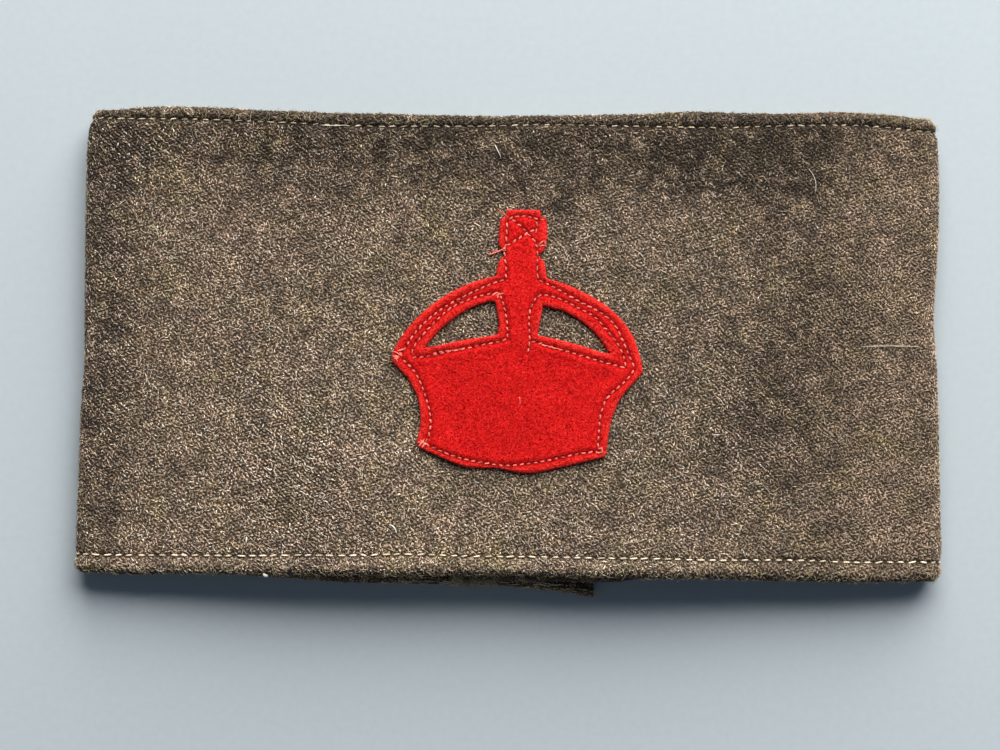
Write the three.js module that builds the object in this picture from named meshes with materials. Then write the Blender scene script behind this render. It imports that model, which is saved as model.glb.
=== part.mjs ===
import * as THREE from 'three';
import { mergeVertices } from 'three/addons/utils/BufferGeometryUtils.js';
import { TessellateModifier } from 'three/addons/modifiers/TessellateModifier.js';

// Armband of milled wool serge with a red felt crown, lying pressed flat with the crown up.
// Millimetres, +Z up, +Y toward the edge above the crown, +X to the right of the crown.

// Cloth of the band
const CLOTH = 1.5;              // thickness of one ply
const PLY_GAP = 0.3;            // air left between plies that lie on each other
const HEM_TURN = 8.5;           // depth of the turned-in hems
const FLAT_WIDTH = 190;         // between the two pressed folds
const FOLD_RADIUS = 4.2;        // outer radius of the pressed folds
const HEM_STACK = 2 * CLOTH + PLY_GAP;
const HEM_ROUND = HEM_STACK / 2;
const FOLD_CENTRE = FLAT_WIDTH / 2 - FOLD_RADIUS;

// Lap at the back
const OUTER_END = 19;           // squared end of the outer flap, lies on the floor
const INNER_END = -10;          // raw end of the strip inside the lap
const INNER_SLIP = 1.0;         // how far that end shows past the front, toward -Y
const LAP_LIFT = HEM_STACK + PLY_GAP;
const LAP_STEP = { from: 32.5, to: 20.5 };   // where the inner strip climbs over the flap

// Felt of the crown
const FELT = 1.2;
const FELT_GAP = 0.25;
const FELT_MESH = 4.2;          // longest triangle edge

// Front face from fold to fold: height above the folds, and where the two hem edges run
const FRONT = [
  { x: -FOLD_CENTRE, rise: 0.0, top: 51.2, bottom: -51.0 },
  { x: -85, rise: 0.45, top: 51.5, bottom: -51.1 },
  { x: -74, rise: 1.75, top: 51.8, bottom: -51.0 },
  { x: -58, rise: 3.3, top: 51.2, bottom: -50.9 },
  { x: -40, rise: 4.6, top: 50.3, bottom: -50.8 },
  { x: -20, rise: 5.3, top: 50.0, bottom: -50.7 },
  { x: 2, rise: 5.6, top: 49.8, bottom: -50.6 },
  { x: 20, rise: 5.3, top: 50.4, bottom: -50.7 },
  { x: 40, rise: 4.4, top: 51.5, bottom: -50.9 },
  { x: 56, rise: 3.1, top: 51.3, bottom: -51.1 },
  { x: 72, rise: 2.1, top: 52.1, bottom: -51.2 },
  { x: 84, rise: 0.9, top: 51.8, bottom: -51.2 },
  { x: FOLD_CENTRE, rise: 0.0, top: 51.0, bottom: -51.0 },
];

// Outer flap under the front: how far it has slipped down toward -Y
const FLAP = [
  { x: OUTER_END, slip: 4.7 },
  { x: 8, slip: 3.0 },
  { x: -3, slip: 2.1 },
  { x: -24, slip: 2.0 },
  { x: -37, slip: 1.8 },
  { x: -48, slip: 1.1 },
  { x: -62, slip: 0.2 },
  { x: -FOLD_CENTRE, slip: 0.0 },
];

// The two folds are not quite straight: how far each stands out along the depth
const FOLD_EDGE = [
  { y: -51, left: 0.3, right: 0.1 },
  { y: -46, left: 0.65, right: 0.7 },
  { y: -33, left: 0.4, right: 0.5 },
  { y: -16, left: 0.2, right: 0.2 },
  { y: -4, left: -0.4, right: -0.2 },
  { y: 7, left: -0.2, right: -0.9 },
  { y: 18, left: -0.1, right: -0.2 },
  { y: 32, left: 0.0, right: 0.3 },
  { y: 46, left: -0.2, right: 0.0 },
  { y: 51, left: -1.2, right: -0.8 },
];

// Outline of the crown, one row per stretch: straight runs are lines, the rest are curves
const CROWN_OUTLINE = [
  { name: 'left arch', curve: true,
    points: [[-25.9, -4.4], [-25.3, -1.6], [-22.1, 3.3], [-16.6, 8.5], [-9.4, 12.6], [-3.3, 14.4]] },
  { name: 'left of the orb', curve: true, points: [[-3.2, 15.6], [-2.6, 17.7], [-1.4, 19.0]] },
  { name: 'left arm of the cross', curve: false,
    points: [[-1.3, 19.7], [-2.5, 20.7], [-2.9, 21.7], [-2.6, 26.7], [-1.4, 27.5], [-1.1, 29.0]] },
  { name: 'right arm of the cross', curve: false,
    points: [[6.1, 29.0], [6.3, 27.8], [7.6, 26.9], [7.8, 23.3], [7.5, 21.0], [6.6, 19.6]] },
  { name: 'right of the orb', curve: true, points: [[5.8, 19.0], [7.1, 17.5], [7.5, 15.6]] },
  { name: 'right arch', curve: true,
    points: [[7.7, 14.0], [13.4, 12.1], [21.2, 7.8], [26.2, 2.3], [28.2, -2.9], [28.9, -6.3]] },
  { name: 'right side', curve: true,
    points: [[27.2, -8.2], [23.9, -12.4], [21.9, -17.6], [21.0, -24.1]] },
  { name: 'foot', curve: true,
    points: [[20.6, -24.8], [11.1, -27.2], [4.0, -28.5], [-2.6, -27.5], [-9.7, -27.2],
      [-16.6, -24.5], [-19.5, -23.2]] },
  { name: 'left side', curve: true,
    points: [[-20.2, -22.0], [-19.5, -17.8], [-20.1, -12.5], [-22.5, -7.9]] },
];
const LEFT_WINDOW = [
  { name: 'under the arch', curve: true,
    points: [[-18.8, -1.4], [-14.7, 3.2], [-9.3, 7.1], [-4.4, 9.0]] },
  { name: 'beside the stem', curve: false, points: [[-3.4, 8.6], [-2.6, 4.1], [-2.8, 1.7]] },
  { name: 'sill', curve: true, points: [[-4.1, 1.3], [-11.0, 0.2], [-17.0, -1.2]] },
];
const RIGHT_WINDOW = [
  { name: 'under the arch', curve: true,
    points: [[7.0, 8.0], [12.3, 6.5], [17.9, 2.6], [21.6, -2.2]] },
  { name: 'sill', curve: true, points: [[19.9, -2.1], [13.6, -0.2], [7.0, 1.3]] },
  { name: 'beside the stem', curve: false, points: [[5.9, 1.5], [6.2, 3.7]] },
];

// Value of one named column between the rows of a table, smooth from row to row
function lookUp(table, key, at, column) {
  const rows = table[0][key] < table[table.length - 1][key] ? table : [...table].reverse();
  if (at <= rows[0][key]) return rows[0][column];
  const last = rows.length - 1;
  if (at >= rows[last][key]) return rows[last][column];
  let i = 0;
  while (at > rows[i + 1][key]) i += 1;
  const span = rows[i + 1][key] - rows[i][key];
  const t = (at - rows[i][key]) / span;
  const slope = (k) => {
    const a = rows[Math.max(k - 1, 0)];
    const b = rows[Math.min(k + 1, last)];
    return (b[column] - a[column]) / (b[key] - a[key]);
  };
  const h = [(1 + 2 * t) * (1 - t) ** 2, t * (1 - t) ** 2, t * t * (3 - 2 * t), t * t * (t - 1)];
  return h[0] * rows[i][column] + h[1] * span * slope(i)
    + h[2] * rows[i + 1][column] + h[3] * span * slope(i + 1);
}

// Slow waves of the loose front, a few tenths of a millimetre, gone at the folds
function frontWave(x, y) {
  const free = Math.cos((Math.PI / 2) * Math.min(Math.abs(x) / FOLD_CENTRE, 1)) ** 0.5;
  const roll = 0.32 * Math.sin(x / 15.5 + y / 34 + 0.6) + 0.22 * Math.sin(y / 17 - x / 41 + 1.9);
  const edge = -0.45 * (Math.abs(y) / 51) ** 4;
  return free * (roll + edge);
}

function frontHeight(x) {
  return 2 * FOLD_RADIUS + lookUp(FRONT, 'x', x, 'rise');
}

// Stations of the outer face along the loop, from the end of the outer flap, round the left
// fold, over the front, round the right fold and back into the lap
function loopStations() {
  const stations = [];
  const add = (x, z, top, bottom, front) => stations.push({ x, z, top, bottom, front });
  const run = (from, to, steps, place) => {
    for (let i = 1; i <= steps; i += 1) place(from + ((to - from) * i) / steps);
  };
  const ends = { left: FRONT[0], right: FRONT[FRONT.length - 1] };
  const fold = (side, row, from, to) => run(from, to, 14, (a) => {
    add(side * FOLD_CENTRE + FOLD_RADIUS * Math.cos(a), FOLD_RADIUS * (1 + Math.sin(a)),
      row.top, row.bottom, 0);
  });
  const flap = (x) => {
    const slip = lookUp(FLAP, 'x', x, 'slip');
    add(x, 0, ends.left.top - slip, ends.left.bottom - slip, 0);
  };
  flap(OUTER_END);
  run(OUTER_END, -FOLD_CENTRE, 14, flap);
  fold(-1, ends.left, -Math.PI / 2, -1.5 * Math.PI);
  run(-FOLD_CENTRE, FOLD_CENTRE, 36, (x) => {
    add(x, frontHeight(x), lookUp(FRONT, 'x', x, 'top'), lookUp(FRONT, 'x', x, 'bottom'), 1);
  });
  fold(1, ends.right, Math.PI / 2, -Math.PI / 2);
  const back = (x) => {
    const t = THREE.MathUtils.smoothstep(-x, -LAP_STEP.from, -LAP_STEP.to);
    add(x, LAP_LIFT * t, ends.right.top - INNER_SLIP * t, ends.right.bottom - INNER_SLIP * t, 0);
  };
  run(FOLD_CENTRE, LAP_STEP.from, 6, back);
  run(LAP_STEP.from, LAP_STEP.to, 9, back);
  run(LAP_STEP.to, INNER_END, 4, back);
  stations.forEach((s, i) => {
    const a = stations[Math.max(i - 1, 0)];
    const b = stations[Math.min(i + 1, stations.length - 1)];
    const length = Math.hypot(b.x - a.x, b.z - a.z);
    s.nx = -(b.z - a.z) / length;
    s.nz = (b.x - a.x) / length;
  });
  return stations;
}

// A point of the band: station of the loop, place along the depth, distance out of the face
function bandPoint(station, y, out) {
  const side = station.x < 0 ? 'left' : 'right';
  const pull = lookUp(FOLD_EDGE, 'y', y, side) * Math.min(Math.abs(station.x) / 95, 1) ** 4;
  const lift = out + (station.front ? frontWave(station.x, y) : 0);
  return new THREE.Vector3(
    station.x + station.nx * lift + Math.sign(station.x) * pull, y, station.z + station.nz * lift);
}

// Cross-section of the strip: which edge it is tied to, distance from it, depth below the face
function stripSection() {
  const points = [];
  const add = (edge, offset, depth) => points.push({ edge, offset, depth });
  const arc = (edge, sign, radius, from, to, steps) => {
    for (let i = 0; i <= steps; i += 1) {
      const a = from + ((to - from) * i) / steps;
      add(edge, -sign * (HEM_ROUND - radius * Math.cos(a)), radius * Math.sin(a) - HEM_ROUND);
    }
  };
  const half = Math.PI / 2;
  const across = [0.18, 0.36, 0.5, 0.64, 0.82];
  arc(1, 1, HEM_ROUND, half, -half, 5);
  add(1, -HEM_TURN, -HEM_STACK);
  add(1, -HEM_TURN, -CLOTH - PLY_GAP);
  arc(1, 1, PLY_GAP / 2, -half, half, 2);
  [...across].reverse().forEach((edge) => add(edge, 0, -CLOTH));
  arc(0, -1, PLY_GAP / 2, half, -half, 2);
  add(0, HEM_TURN, -CLOTH - PLY_GAP);
  add(0, HEM_TURN, -HEM_STACK);
  arc(0, -1, HEM_ROUND, -half, half, 5);
  across.forEach((edge) => add(edge, 0, 0));
  return points;
}

// The raw end of the section, cut into two rolled hems and the plain sheet between them
function capPanels(section) {
  const plain = [...section.keys()].filter((k) => section[k].edge > 0 && section[k].edge < 1);
  const below = plain.filter((k) => section[k].depth < 0);
  const above = plain.filter((k) => section[k].depth === 0).reverse();
  const run = (from, to) => [...section.keys()].slice(from, to);
  const panels = [
    [above[0], ...run(0, below[0]), below[0]],
    [below[below.length - 1], ...run(below[below.length - 1] + 1, above[above.length - 1] + 1)],
  ];
  for (let k = 0; k + 1 < below.length; k += 1) {
    panels.push([above[k], below[k], below[k + 1], above[k + 1]]);
  }
  return panels;
}

// The band: the section carried along the stations, closed by a cap at each raw end
function buildBand() {
  const stations = loopStations();
  const section = stripSection();
  const count = section.length;
  const positions = [];
  stations.forEach((station) => section.forEach((p) => {
    const y = THREE.MathUtils.lerp(station.bottom, station.top, p.edge) + p.offset;
    positions.push(...bandPoint(station, y, p.depth).toArray());
  }));
  const index = [];
  for (let s = 0; s + 1 < stations.length; s += 1) {
    for (let k = 0; k < count; k += 1) {
      const a = s * count + k;
      const b = s * count + ((k + 1) % count);
      index.push(a, a + count, b, b, a + count, b + count);
    }
  }
  const last = (stations.length - 1) * count;
  capPanels(section).forEach((panel) => {
    const flat = panel.map((k) => section[k])
      .map((p) => new THREE.Vector2(p.edge * 102 + p.offset, p.depth));
    THREE.ShapeUtils.triangulateShape(flat, []).forEach((corners) => {
      const [a, b, c] = corners.map((k) => panel[k]);
      index.push(a, c, b, last + a, last + b, last + c);
    });
  });
  const geometry = new THREE.BufferGeometry();
  geometry.setAttribute('position', new THREE.Float32BufferAttribute(positions, 3));
  geometry.setIndex(index);
  return geometry;
}

// Points along a table of stretches, curved stretches rounded off between their points
function stretchPoints(table) {
  return table.flatMap(({ curve, points }) => {
    const corners = points.map(([x, y]) => new THREE.Vector2(x, y));
    return curve ? new THREE.SplineCurve(corners).getPoints(2 * points.length) : corners;
  });
}

// The crown: felt cut to the outline and laid on the curved front
function buildCrown() {
  const shape = new THREE.Shape(stretchPoints(CROWN_OUTLINE));
  shape.holes = [LEFT_WINDOW, RIGHT_WINDOW]
    .map((table) => new THREE.Path(stretchPoints(table).reverse()));
  const sheet = new THREE.ExtrudeGeometry(shape, { depth: FELT, steps: 1, bevelEnabled: false });
  const fine = new TessellateModifier(FELT_MESH, 12).modify(sheet);
  const position = fine.attributes.position;
  for (let i = 0; i < position.count; i += 1) {
    const [x, y, out] = [position.getX(i), position.getY(i), position.getZ(i)];
    const slope = (frontHeight(x + 0.5) - frontHeight(x - 0.5));
    const length = Math.hypot(1, slope);
    const station = { x, z: frontHeight(x), nx: -slope / length, nz: 1 / length, front: 1 };
    position.setXYZ(i, ...bandPoint(station, y, FELT_GAP + out).toArray());
  }
  ['normal', 'uv'].forEach((name) => fine.deleteAttribute(name));
  return mergeVertices(fine, 1e-4);
}

function addPiece(group, name, geometry, color, roughness) {
  geometry.computeVertexNormals();
  const material = new THREE.MeshStandardMaterial({ color, roughness, metalness: 0 });
  material.name = `${name}_cloth`;
  const mesh = new THREE.Mesh(geometry, material);
  mesh.name = name;
  group.add(mesh);
}

const armband = new THREE.Group();
armband.name = 'armband';
addPiece(armband, 'serge_band', buildBand(), 0x78695a, 0.95);
addPiece(armband, 'crown_patch', buildCrown(), 0xd91d20, 0.9);

// Origin on the floor under the middle of the whole thing
const box = new THREE.Box3().setFromObject(armband);
const centre = box.getCenter(new THREE.Vector3());
armband.children.forEach((mesh) => mesh.geometry.translate(-centre.x, -centre.y, -box.min.z));

export default armband;
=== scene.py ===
"""Dresses the armband: a folded band of milled wool serge with a felt crown sewn on its front.

Sizes in the classes are millimetres in the cutter's frame, where the middle of the front is at
0, 0, the crown's top points toward +Y and the floor is at height 0. What is handed to Blender is
in metres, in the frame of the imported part.
"""
import logging
import math
from dataclasses import dataclass, field
from enum import Enum
from typing import Callable, NamedTuple, Sequence

import bpy
import numpy as np
from mathutils import Matrix, Vector
from mathutils.geometry import delaunay_2d_cdt


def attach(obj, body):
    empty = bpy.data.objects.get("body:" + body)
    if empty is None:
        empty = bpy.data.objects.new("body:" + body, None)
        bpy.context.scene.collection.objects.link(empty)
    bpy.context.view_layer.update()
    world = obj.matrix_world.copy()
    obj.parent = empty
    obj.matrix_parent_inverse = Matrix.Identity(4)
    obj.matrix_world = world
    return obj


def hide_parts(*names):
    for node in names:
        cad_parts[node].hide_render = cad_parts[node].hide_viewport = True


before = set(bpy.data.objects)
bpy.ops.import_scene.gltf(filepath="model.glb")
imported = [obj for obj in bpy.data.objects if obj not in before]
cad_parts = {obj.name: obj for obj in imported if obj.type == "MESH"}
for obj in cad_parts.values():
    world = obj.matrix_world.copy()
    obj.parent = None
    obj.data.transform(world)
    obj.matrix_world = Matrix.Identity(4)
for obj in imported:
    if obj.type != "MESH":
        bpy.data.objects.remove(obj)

log = logging.getLogger("armband")

Array = np.ndarray
Surface = Callable[[Array, Array, Array], Array]
Pair = tuple[float, float]
Colour = tuple[float, float, float]
Socket = bpy.types.NodeSocket
Node = bpy.types.Node
Tree = bpy.types.NodeTree
Piece = bpy.types.Object
Material = bpy.types.Material
Chance = np.random.Generator

MM = 0.001
FRAME_SHIFT = (-0.027, 1.876, 0.0)  # cutter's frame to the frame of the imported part
UV_SPAN = 500.0  # millimetres of cloth across one unit of the "cloth" map


# Small tools


def smooth_between(keys: Array, values: Array, at: Array) -> Array:
    """Reads a column between the rows of a table, smooth from row to row.

    Args:
        keys: The rising key of each row.
        values: The column's value in each row.
        at: Where to read it.

    Returns:
        The value at each place, held at the ends of the table.
    """
    at = np.clip(at, keys[0], keys[-1])
    row = np.clip(np.searchsorted(keys, at, side="right") - 1, 0, len(keys) - 2)
    span = keys[row + 1] - keys[row]
    t = (at - keys[row]) / span
    order = np.arange(len(keys))
    before, after = np.maximum(order - 1, 0), np.minimum(order + 1, len(keys) - 1)
    slope = (values[after] - values[before]) / (keys[after] - keys[before])
    return (
        (1 + 2 * t) * (1 - t) ** 2 * values[row]
        + t * (1 - t) ** 2 * span * slope[row]
        + t * t * (3 - 2 * t) * values[row + 1]
        + t * t * (t - 1) * span * slope[row + 1]
    )


def smooth_step(at: Array, low: float, high: float) -> Array:
    """Rises smoothly from 0 at low to 1 at high."""
    t = np.clip((at - low) / (high - low), 0, 1)
    return t * t * (3 - 2 * t)


def table(kind: type, *rows: tuple) -> tuple[NamedTuple, ...]:
    """Gives the rows of a table the names of their columns."""
    return tuple(kind(*row) for row in rows)


def read(rows: Sequence[NamedTuple], name: str, at: Array) -> Array:
    """Reads a column of a table by the table's first column, smooth from row to row."""
    keys, values = (np.array([getattr(row, part) for row in rows], dtype=float)
                    for part in (rows[0]._fields[0], name))
    return smooth_between(keys, values, at)


def reached(points: Array) -> Array:
    """Gives how far along a run each of its points is."""
    return np.concatenate([[0.0], np.cumsum(np.hypot(*np.diff(points, axis=0).T))])


def rounded_run(points: Sequence[Pair], step: float) -> Array:
    """Draws a smooth run through a few points, with a point about every step along it.

    Args:
        points: The points that the run passes through.
        step: The spacing along the run.

    Returns:
        The points of the run, the first and last as given.
    """
    given = np.array(points, dtype=float)
    length = reached(given)
    count = max(int(round(length[-1] / step)), 1) + 1
    at = np.linspace(0, length[-1], count)
    return np.stack([smooth_between(length, given[:, k], at) for k in range(2)], axis=1)


def straight_run(points: Sequence[Pair], step: float) -> Array:
    """Draws straight lines from point to point, keeping every corner.

    Args:
        points: The corners.
        step: The spacing along the lines.

    Returns:
        The points of the run, corners included.
    """
    run = [np.array(points[:1], dtype=float)]
    for start, end in zip(points, points[1:]):
        count = max(int(round(math.dist(start, end) / step)), 1)
        share = np.arange(1, count + 1)[:, None] / count
        run.append(np.array(start) + share * (np.array(end) - np.array(start)))
    return np.concatenate(run)


def inside(loop: Array, points: Array) -> Array:
    """Tells which points are inside a closed outline.

    Args:
        loop: The corners of the outline.
        points: The points to test, one row each.

    Returns:
        A flag for each point.
    """
    x, y = points.T[:, :, None]
    (ax, ay), (bx, by) = loop.T, np.roll(loop, -1, axis=0).T
    spans = (ay > y) != (by > y)
    rise = np.where(by == ay, 1e-9, by - ay)
    crossing = spans & (x < (bx - ax) * (y - ay) / rise + ax)
    return crossing.sum(axis=1) % 2 == 1


def distance_to_run(run: Array, points: Array) -> Array:
    """Measures how far points are from a run of straight pieces.

    Args:
        run: The points of the run in order.
        points: The points to measure from, one row each.

    Returns:
        The shortest distance for each point.
    """
    nearest = np.full(len(points), np.inf)
    for start, end in zip(run[:-1], run[1:]):
        along = end - start
        share = np.clip((points - start) @ along / max(along @ along, 1e-12), 0, 1)
        gap = points - (start + share[:, None] * along)
        nearest = np.minimum(nearest, np.hypot(gap[:, 0], gap[:, 1]))
    return nearest


def make_piece(name: str, points: Array, faces: Array, values: dict[str, Array] | None = None,
               cloth_map: Array | None = None) -> Piece:
    """Makes one mesh piece with its attributes and, for a sheet, its cloth map.

    Args:
        name: The piece's name.
        points: Its points in metres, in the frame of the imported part.
        faces: Corner numbers of its faces, one row each.
        values: Named values for each point.
        cloth_map: Place of each point on the flat cloth, in units of UV_SPAN.

    Returns:
        The new object, smooth shaded, at the origin.
    """
    mesh = bpy.data.meshes.new(name)
    mesh.from_pydata(points.tolist(), [], faces.tolist())
    for key, value in (values or {}).items():
        stored = mesh.attributes.new(key, "FLOAT", "POINT")
        stored.data.foreach_set("value", np.asarray(value, dtype=np.float32))
    if cloth_map is not None:
        layer = mesh.uv_layers.new(name="cloth")
        corner = np.empty(len(mesh.loops), dtype=np.int32)
        mesh.loops.foreach_get("vertex_index", corner)
        layer.data.foreach_set("uv", cloth_map[corner].astype(np.float32).ravel())
    mesh.polygons.foreach_set("use_smooth", np.ones(len(mesh.polygons), dtype=bool))
    mesh.update()
    piece = bpy.data.objects.new(name, mesh)
    bpy.context.scene.collection.objects.link(piece)
    return piece


def report(piece: Piece) -> Piece:
    """Writes a piece's name and number of triangles to the log, and hands it back."""
    triangles = sum(len(face.vertices) - 2 for face in piece.data.polygons)
    log.info("%s: %d triangles", piece.name, triangles)
    return piece


# Nodes and finishes


class Blend(Enum):
    """How two colours are put together."""

    MIX = "MIX"
    DARKEN_BY = "MULTIPLY"


@dataclass
class NodeBench:
    """Adds and links the nodes of one material or shared group."""

    tree: Tree

    def add(self, kind: str, options: dict[str, object] | None = None,
            **inputs: object) -> Node:
        """Adds a node, sets its options and fills its inputs.

        Args:
            kind: The node's type.
            options: Properties of the node, by name.
            **inputs: Values or sockets for its inputs.

        Returns:
            The new node.
        """
        node = self.tree.nodes.new(kind)
        for name, value in (options or {}).items():
            setattr(node, name, value)
        self.fill(node, **inputs)
        return node

    def fill(self, node: Node, **inputs: object) -> None:
        """Fills a node's inputs by name, with _ for a space."""
        for name, value in inputs.items():
            self.feed(node.inputs[name.replace("_", " ")], value)

    def feed(self, socket: Socket, value: object) -> None:
        """Links a socket to an input, or sets the input's own value."""
        if isinstance(value, Socket):
            self.tree.links.new(value, socket)
        else:
            socket.default_value = value

    def work(self, kind: str, operation: str, parts: Sequence[object]) -> Node:
        """Adds a Math or Vector Math node and fills its inputs in order.

        Args:
            kind: The node's type.
            operation: What it works out.
            parts: Values or sockets.

        Returns:
            The new node.
        """
        node = self.add(kind, {"operation": operation})
        for socket, part in zip(node.inputs, parts):
            self.feed(socket, part)
        return node

    def sum(self, operation: str, a: object, b: object = 0.0) -> Socket:
        """Works out a value from one or two others."""
        return self.work("ShaderNodeMath", operation, (a, b)).outputs[0]

    def vector(self, operation: str, *parts: object) -> Socket:
        """Works out a vector from others."""
        return self.work("ShaderNodeVectorMath", operation, parts).outputs[0]

    def spread(self, value: object, low: float, high: float, to_low: float = 0.0,
               to_high: float = 1.0) -> Socket:
        """Moves the range from low to high onto the range from to_low to to_high."""
        return self.add("ShaderNodeMapRange", Value=value, From_Min=low, From_Max=high,
                        To_Min=to_low, To_Max=to_high).outputs[0]

    def group(self, tree: Tree, **inputs: object) -> Node:
        """Places a shared group and fills its inputs."""
        return self.add("ShaderNodeGroup", {"node_tree": tree}, **inputs)

    def mix(self, share: object, a: object, b: object, blend: Blend = Blend.MIX) -> Socket:
        """Puts two colours together.

        Args:
            share: How much of the second one.
            a: First colour or socket.
            b: Second colour or socket.
            blend: How they are put together.

        Returns:
            The socket with the colour.
        """
        node = self.tree.nodes.new("ShaderNodeMix")
        node.data_type = "RGBA"
        node.blend_type = blend.value
        self.feed(node.inputs[0], share)
        for socket, colour in ((node.inputs[6], a), (node.inputs[7], b)):
            self.feed(socket, colour if isinstance(colour, Socket) else (*colour, 1.0))
        return node.outputs[2]

    def tint(self, colour: object, by: object, share: object = 1.0) -> Socket:
        """Multiplies a colour by another one."""
        return self.mix(share, colour, by, Blend.DARKEN_BY)

    def ramp(self, value: object, stops: Sequence[tuple[float, Colour]]) -> Socket:
        """Turns a value into a colour.

        Args:
            value: The socket to read.
            stops: Where each colour stands, and the colour.

        Returns:
            The socket with the colour.
        """
        node = self.tree.nodes.new("ShaderNodeValToRGB")
        band = node.color_ramp
        while len(band.elements) < len(stops):
            band.elements.new(0.5)
        for element, (place, colour) in zip(band.elements, stops):
            element.position = place
            element.color = (*colour, 1.0)
        self.feed(node.inputs[0], value)
        return node.outputs[0]

    def noise(self, place: Socket, scale: object, detail: float = 2.0, twist: float = 0.0,
              rough: float = 0.5) -> Socket:
        """Adds a noise of so many spots per unit, with so many finer layers, drawn out by twist."""
        return self.add("ShaderNodeTexNoise", Vector=place, Scale=scale, Detail=detail,
                        Roughness=rough, Distortion=twist).outputs["Fac"]

    def value_of(self, name: str) -> Socket:
        """Reads one of the piece's named values."""
        return self.add("ShaderNodeAttribute", {"attribute_name": name}).outputs["Fac"]

    def in_millimetres(self) -> Socket:
        """Reads the place on the piece in millimetres."""
        place = self.add("ShaderNodeTexCoord").outputs["Object"]
        return self.add("ShaderNodeMapping", Vector=place, Scale=(1 / MM,) * 3).outputs[0]

    def on_the_cloth(self) -> Socket:
        """Reads the place on the flat cloth in millimetres, from the cloth map."""
        place = self.add("ShaderNodeUVMap", {"uv_map": "cloth"}).outputs[0]
        return self.add("ShaderNodeMapping", Vector=place, Scale=(UV_SPAN,) * 3,
                        Location=(-UV_SPAN / 2, -UV_SPAN / 2, 0.0)).outputs[0]


@dataclass(frozen=True)
class Weave:
    """The lattice of the serge's floats: the two steps from a float to its neighbours."""

    first: Pair = (0.842, 0.244)
    second: Pair = (-0.222, -0.798)

    def rates(self) -> list[Pair]:
        """Gives how fast the three sets of rows repeat along and across, per millimetre."""
        one, two = np.linalg.inv(np.array([self.first, self.second])).T
        return [tuple(one.tolist()), tuple(two.tolist()), tuple((one - two).tolist())]

    def floats(self, s_from: float, s_to: float, reach: float) -> tuple[Array, Array]:
        """Lists the floats of part of the cloth.

        Args:
            s_from: Where the part starts along the cloth.
            s_to: Where it ends.
            reach: Half its depth across.

        Returns:
            The two coordinates of the floats.
        """
        far = int(max(abs(s_from), abs(s_to)) * 1.8 + reach * 2)
        one, two = np.meshgrid(np.arange(-far, far), np.arange(-far, far), indexing="ij")
        s = one * self.first[0] + two * self.second[0]
        v = one * self.first[1] + two * self.second[1]
        kept = (s > s_from) & (s < s_to) & (np.abs(v) < reach)
        return s[kept], v[kept]


WEAVE = Weave()
WOOL = (0.2, 0.15, 0.1, 1.0)


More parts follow.
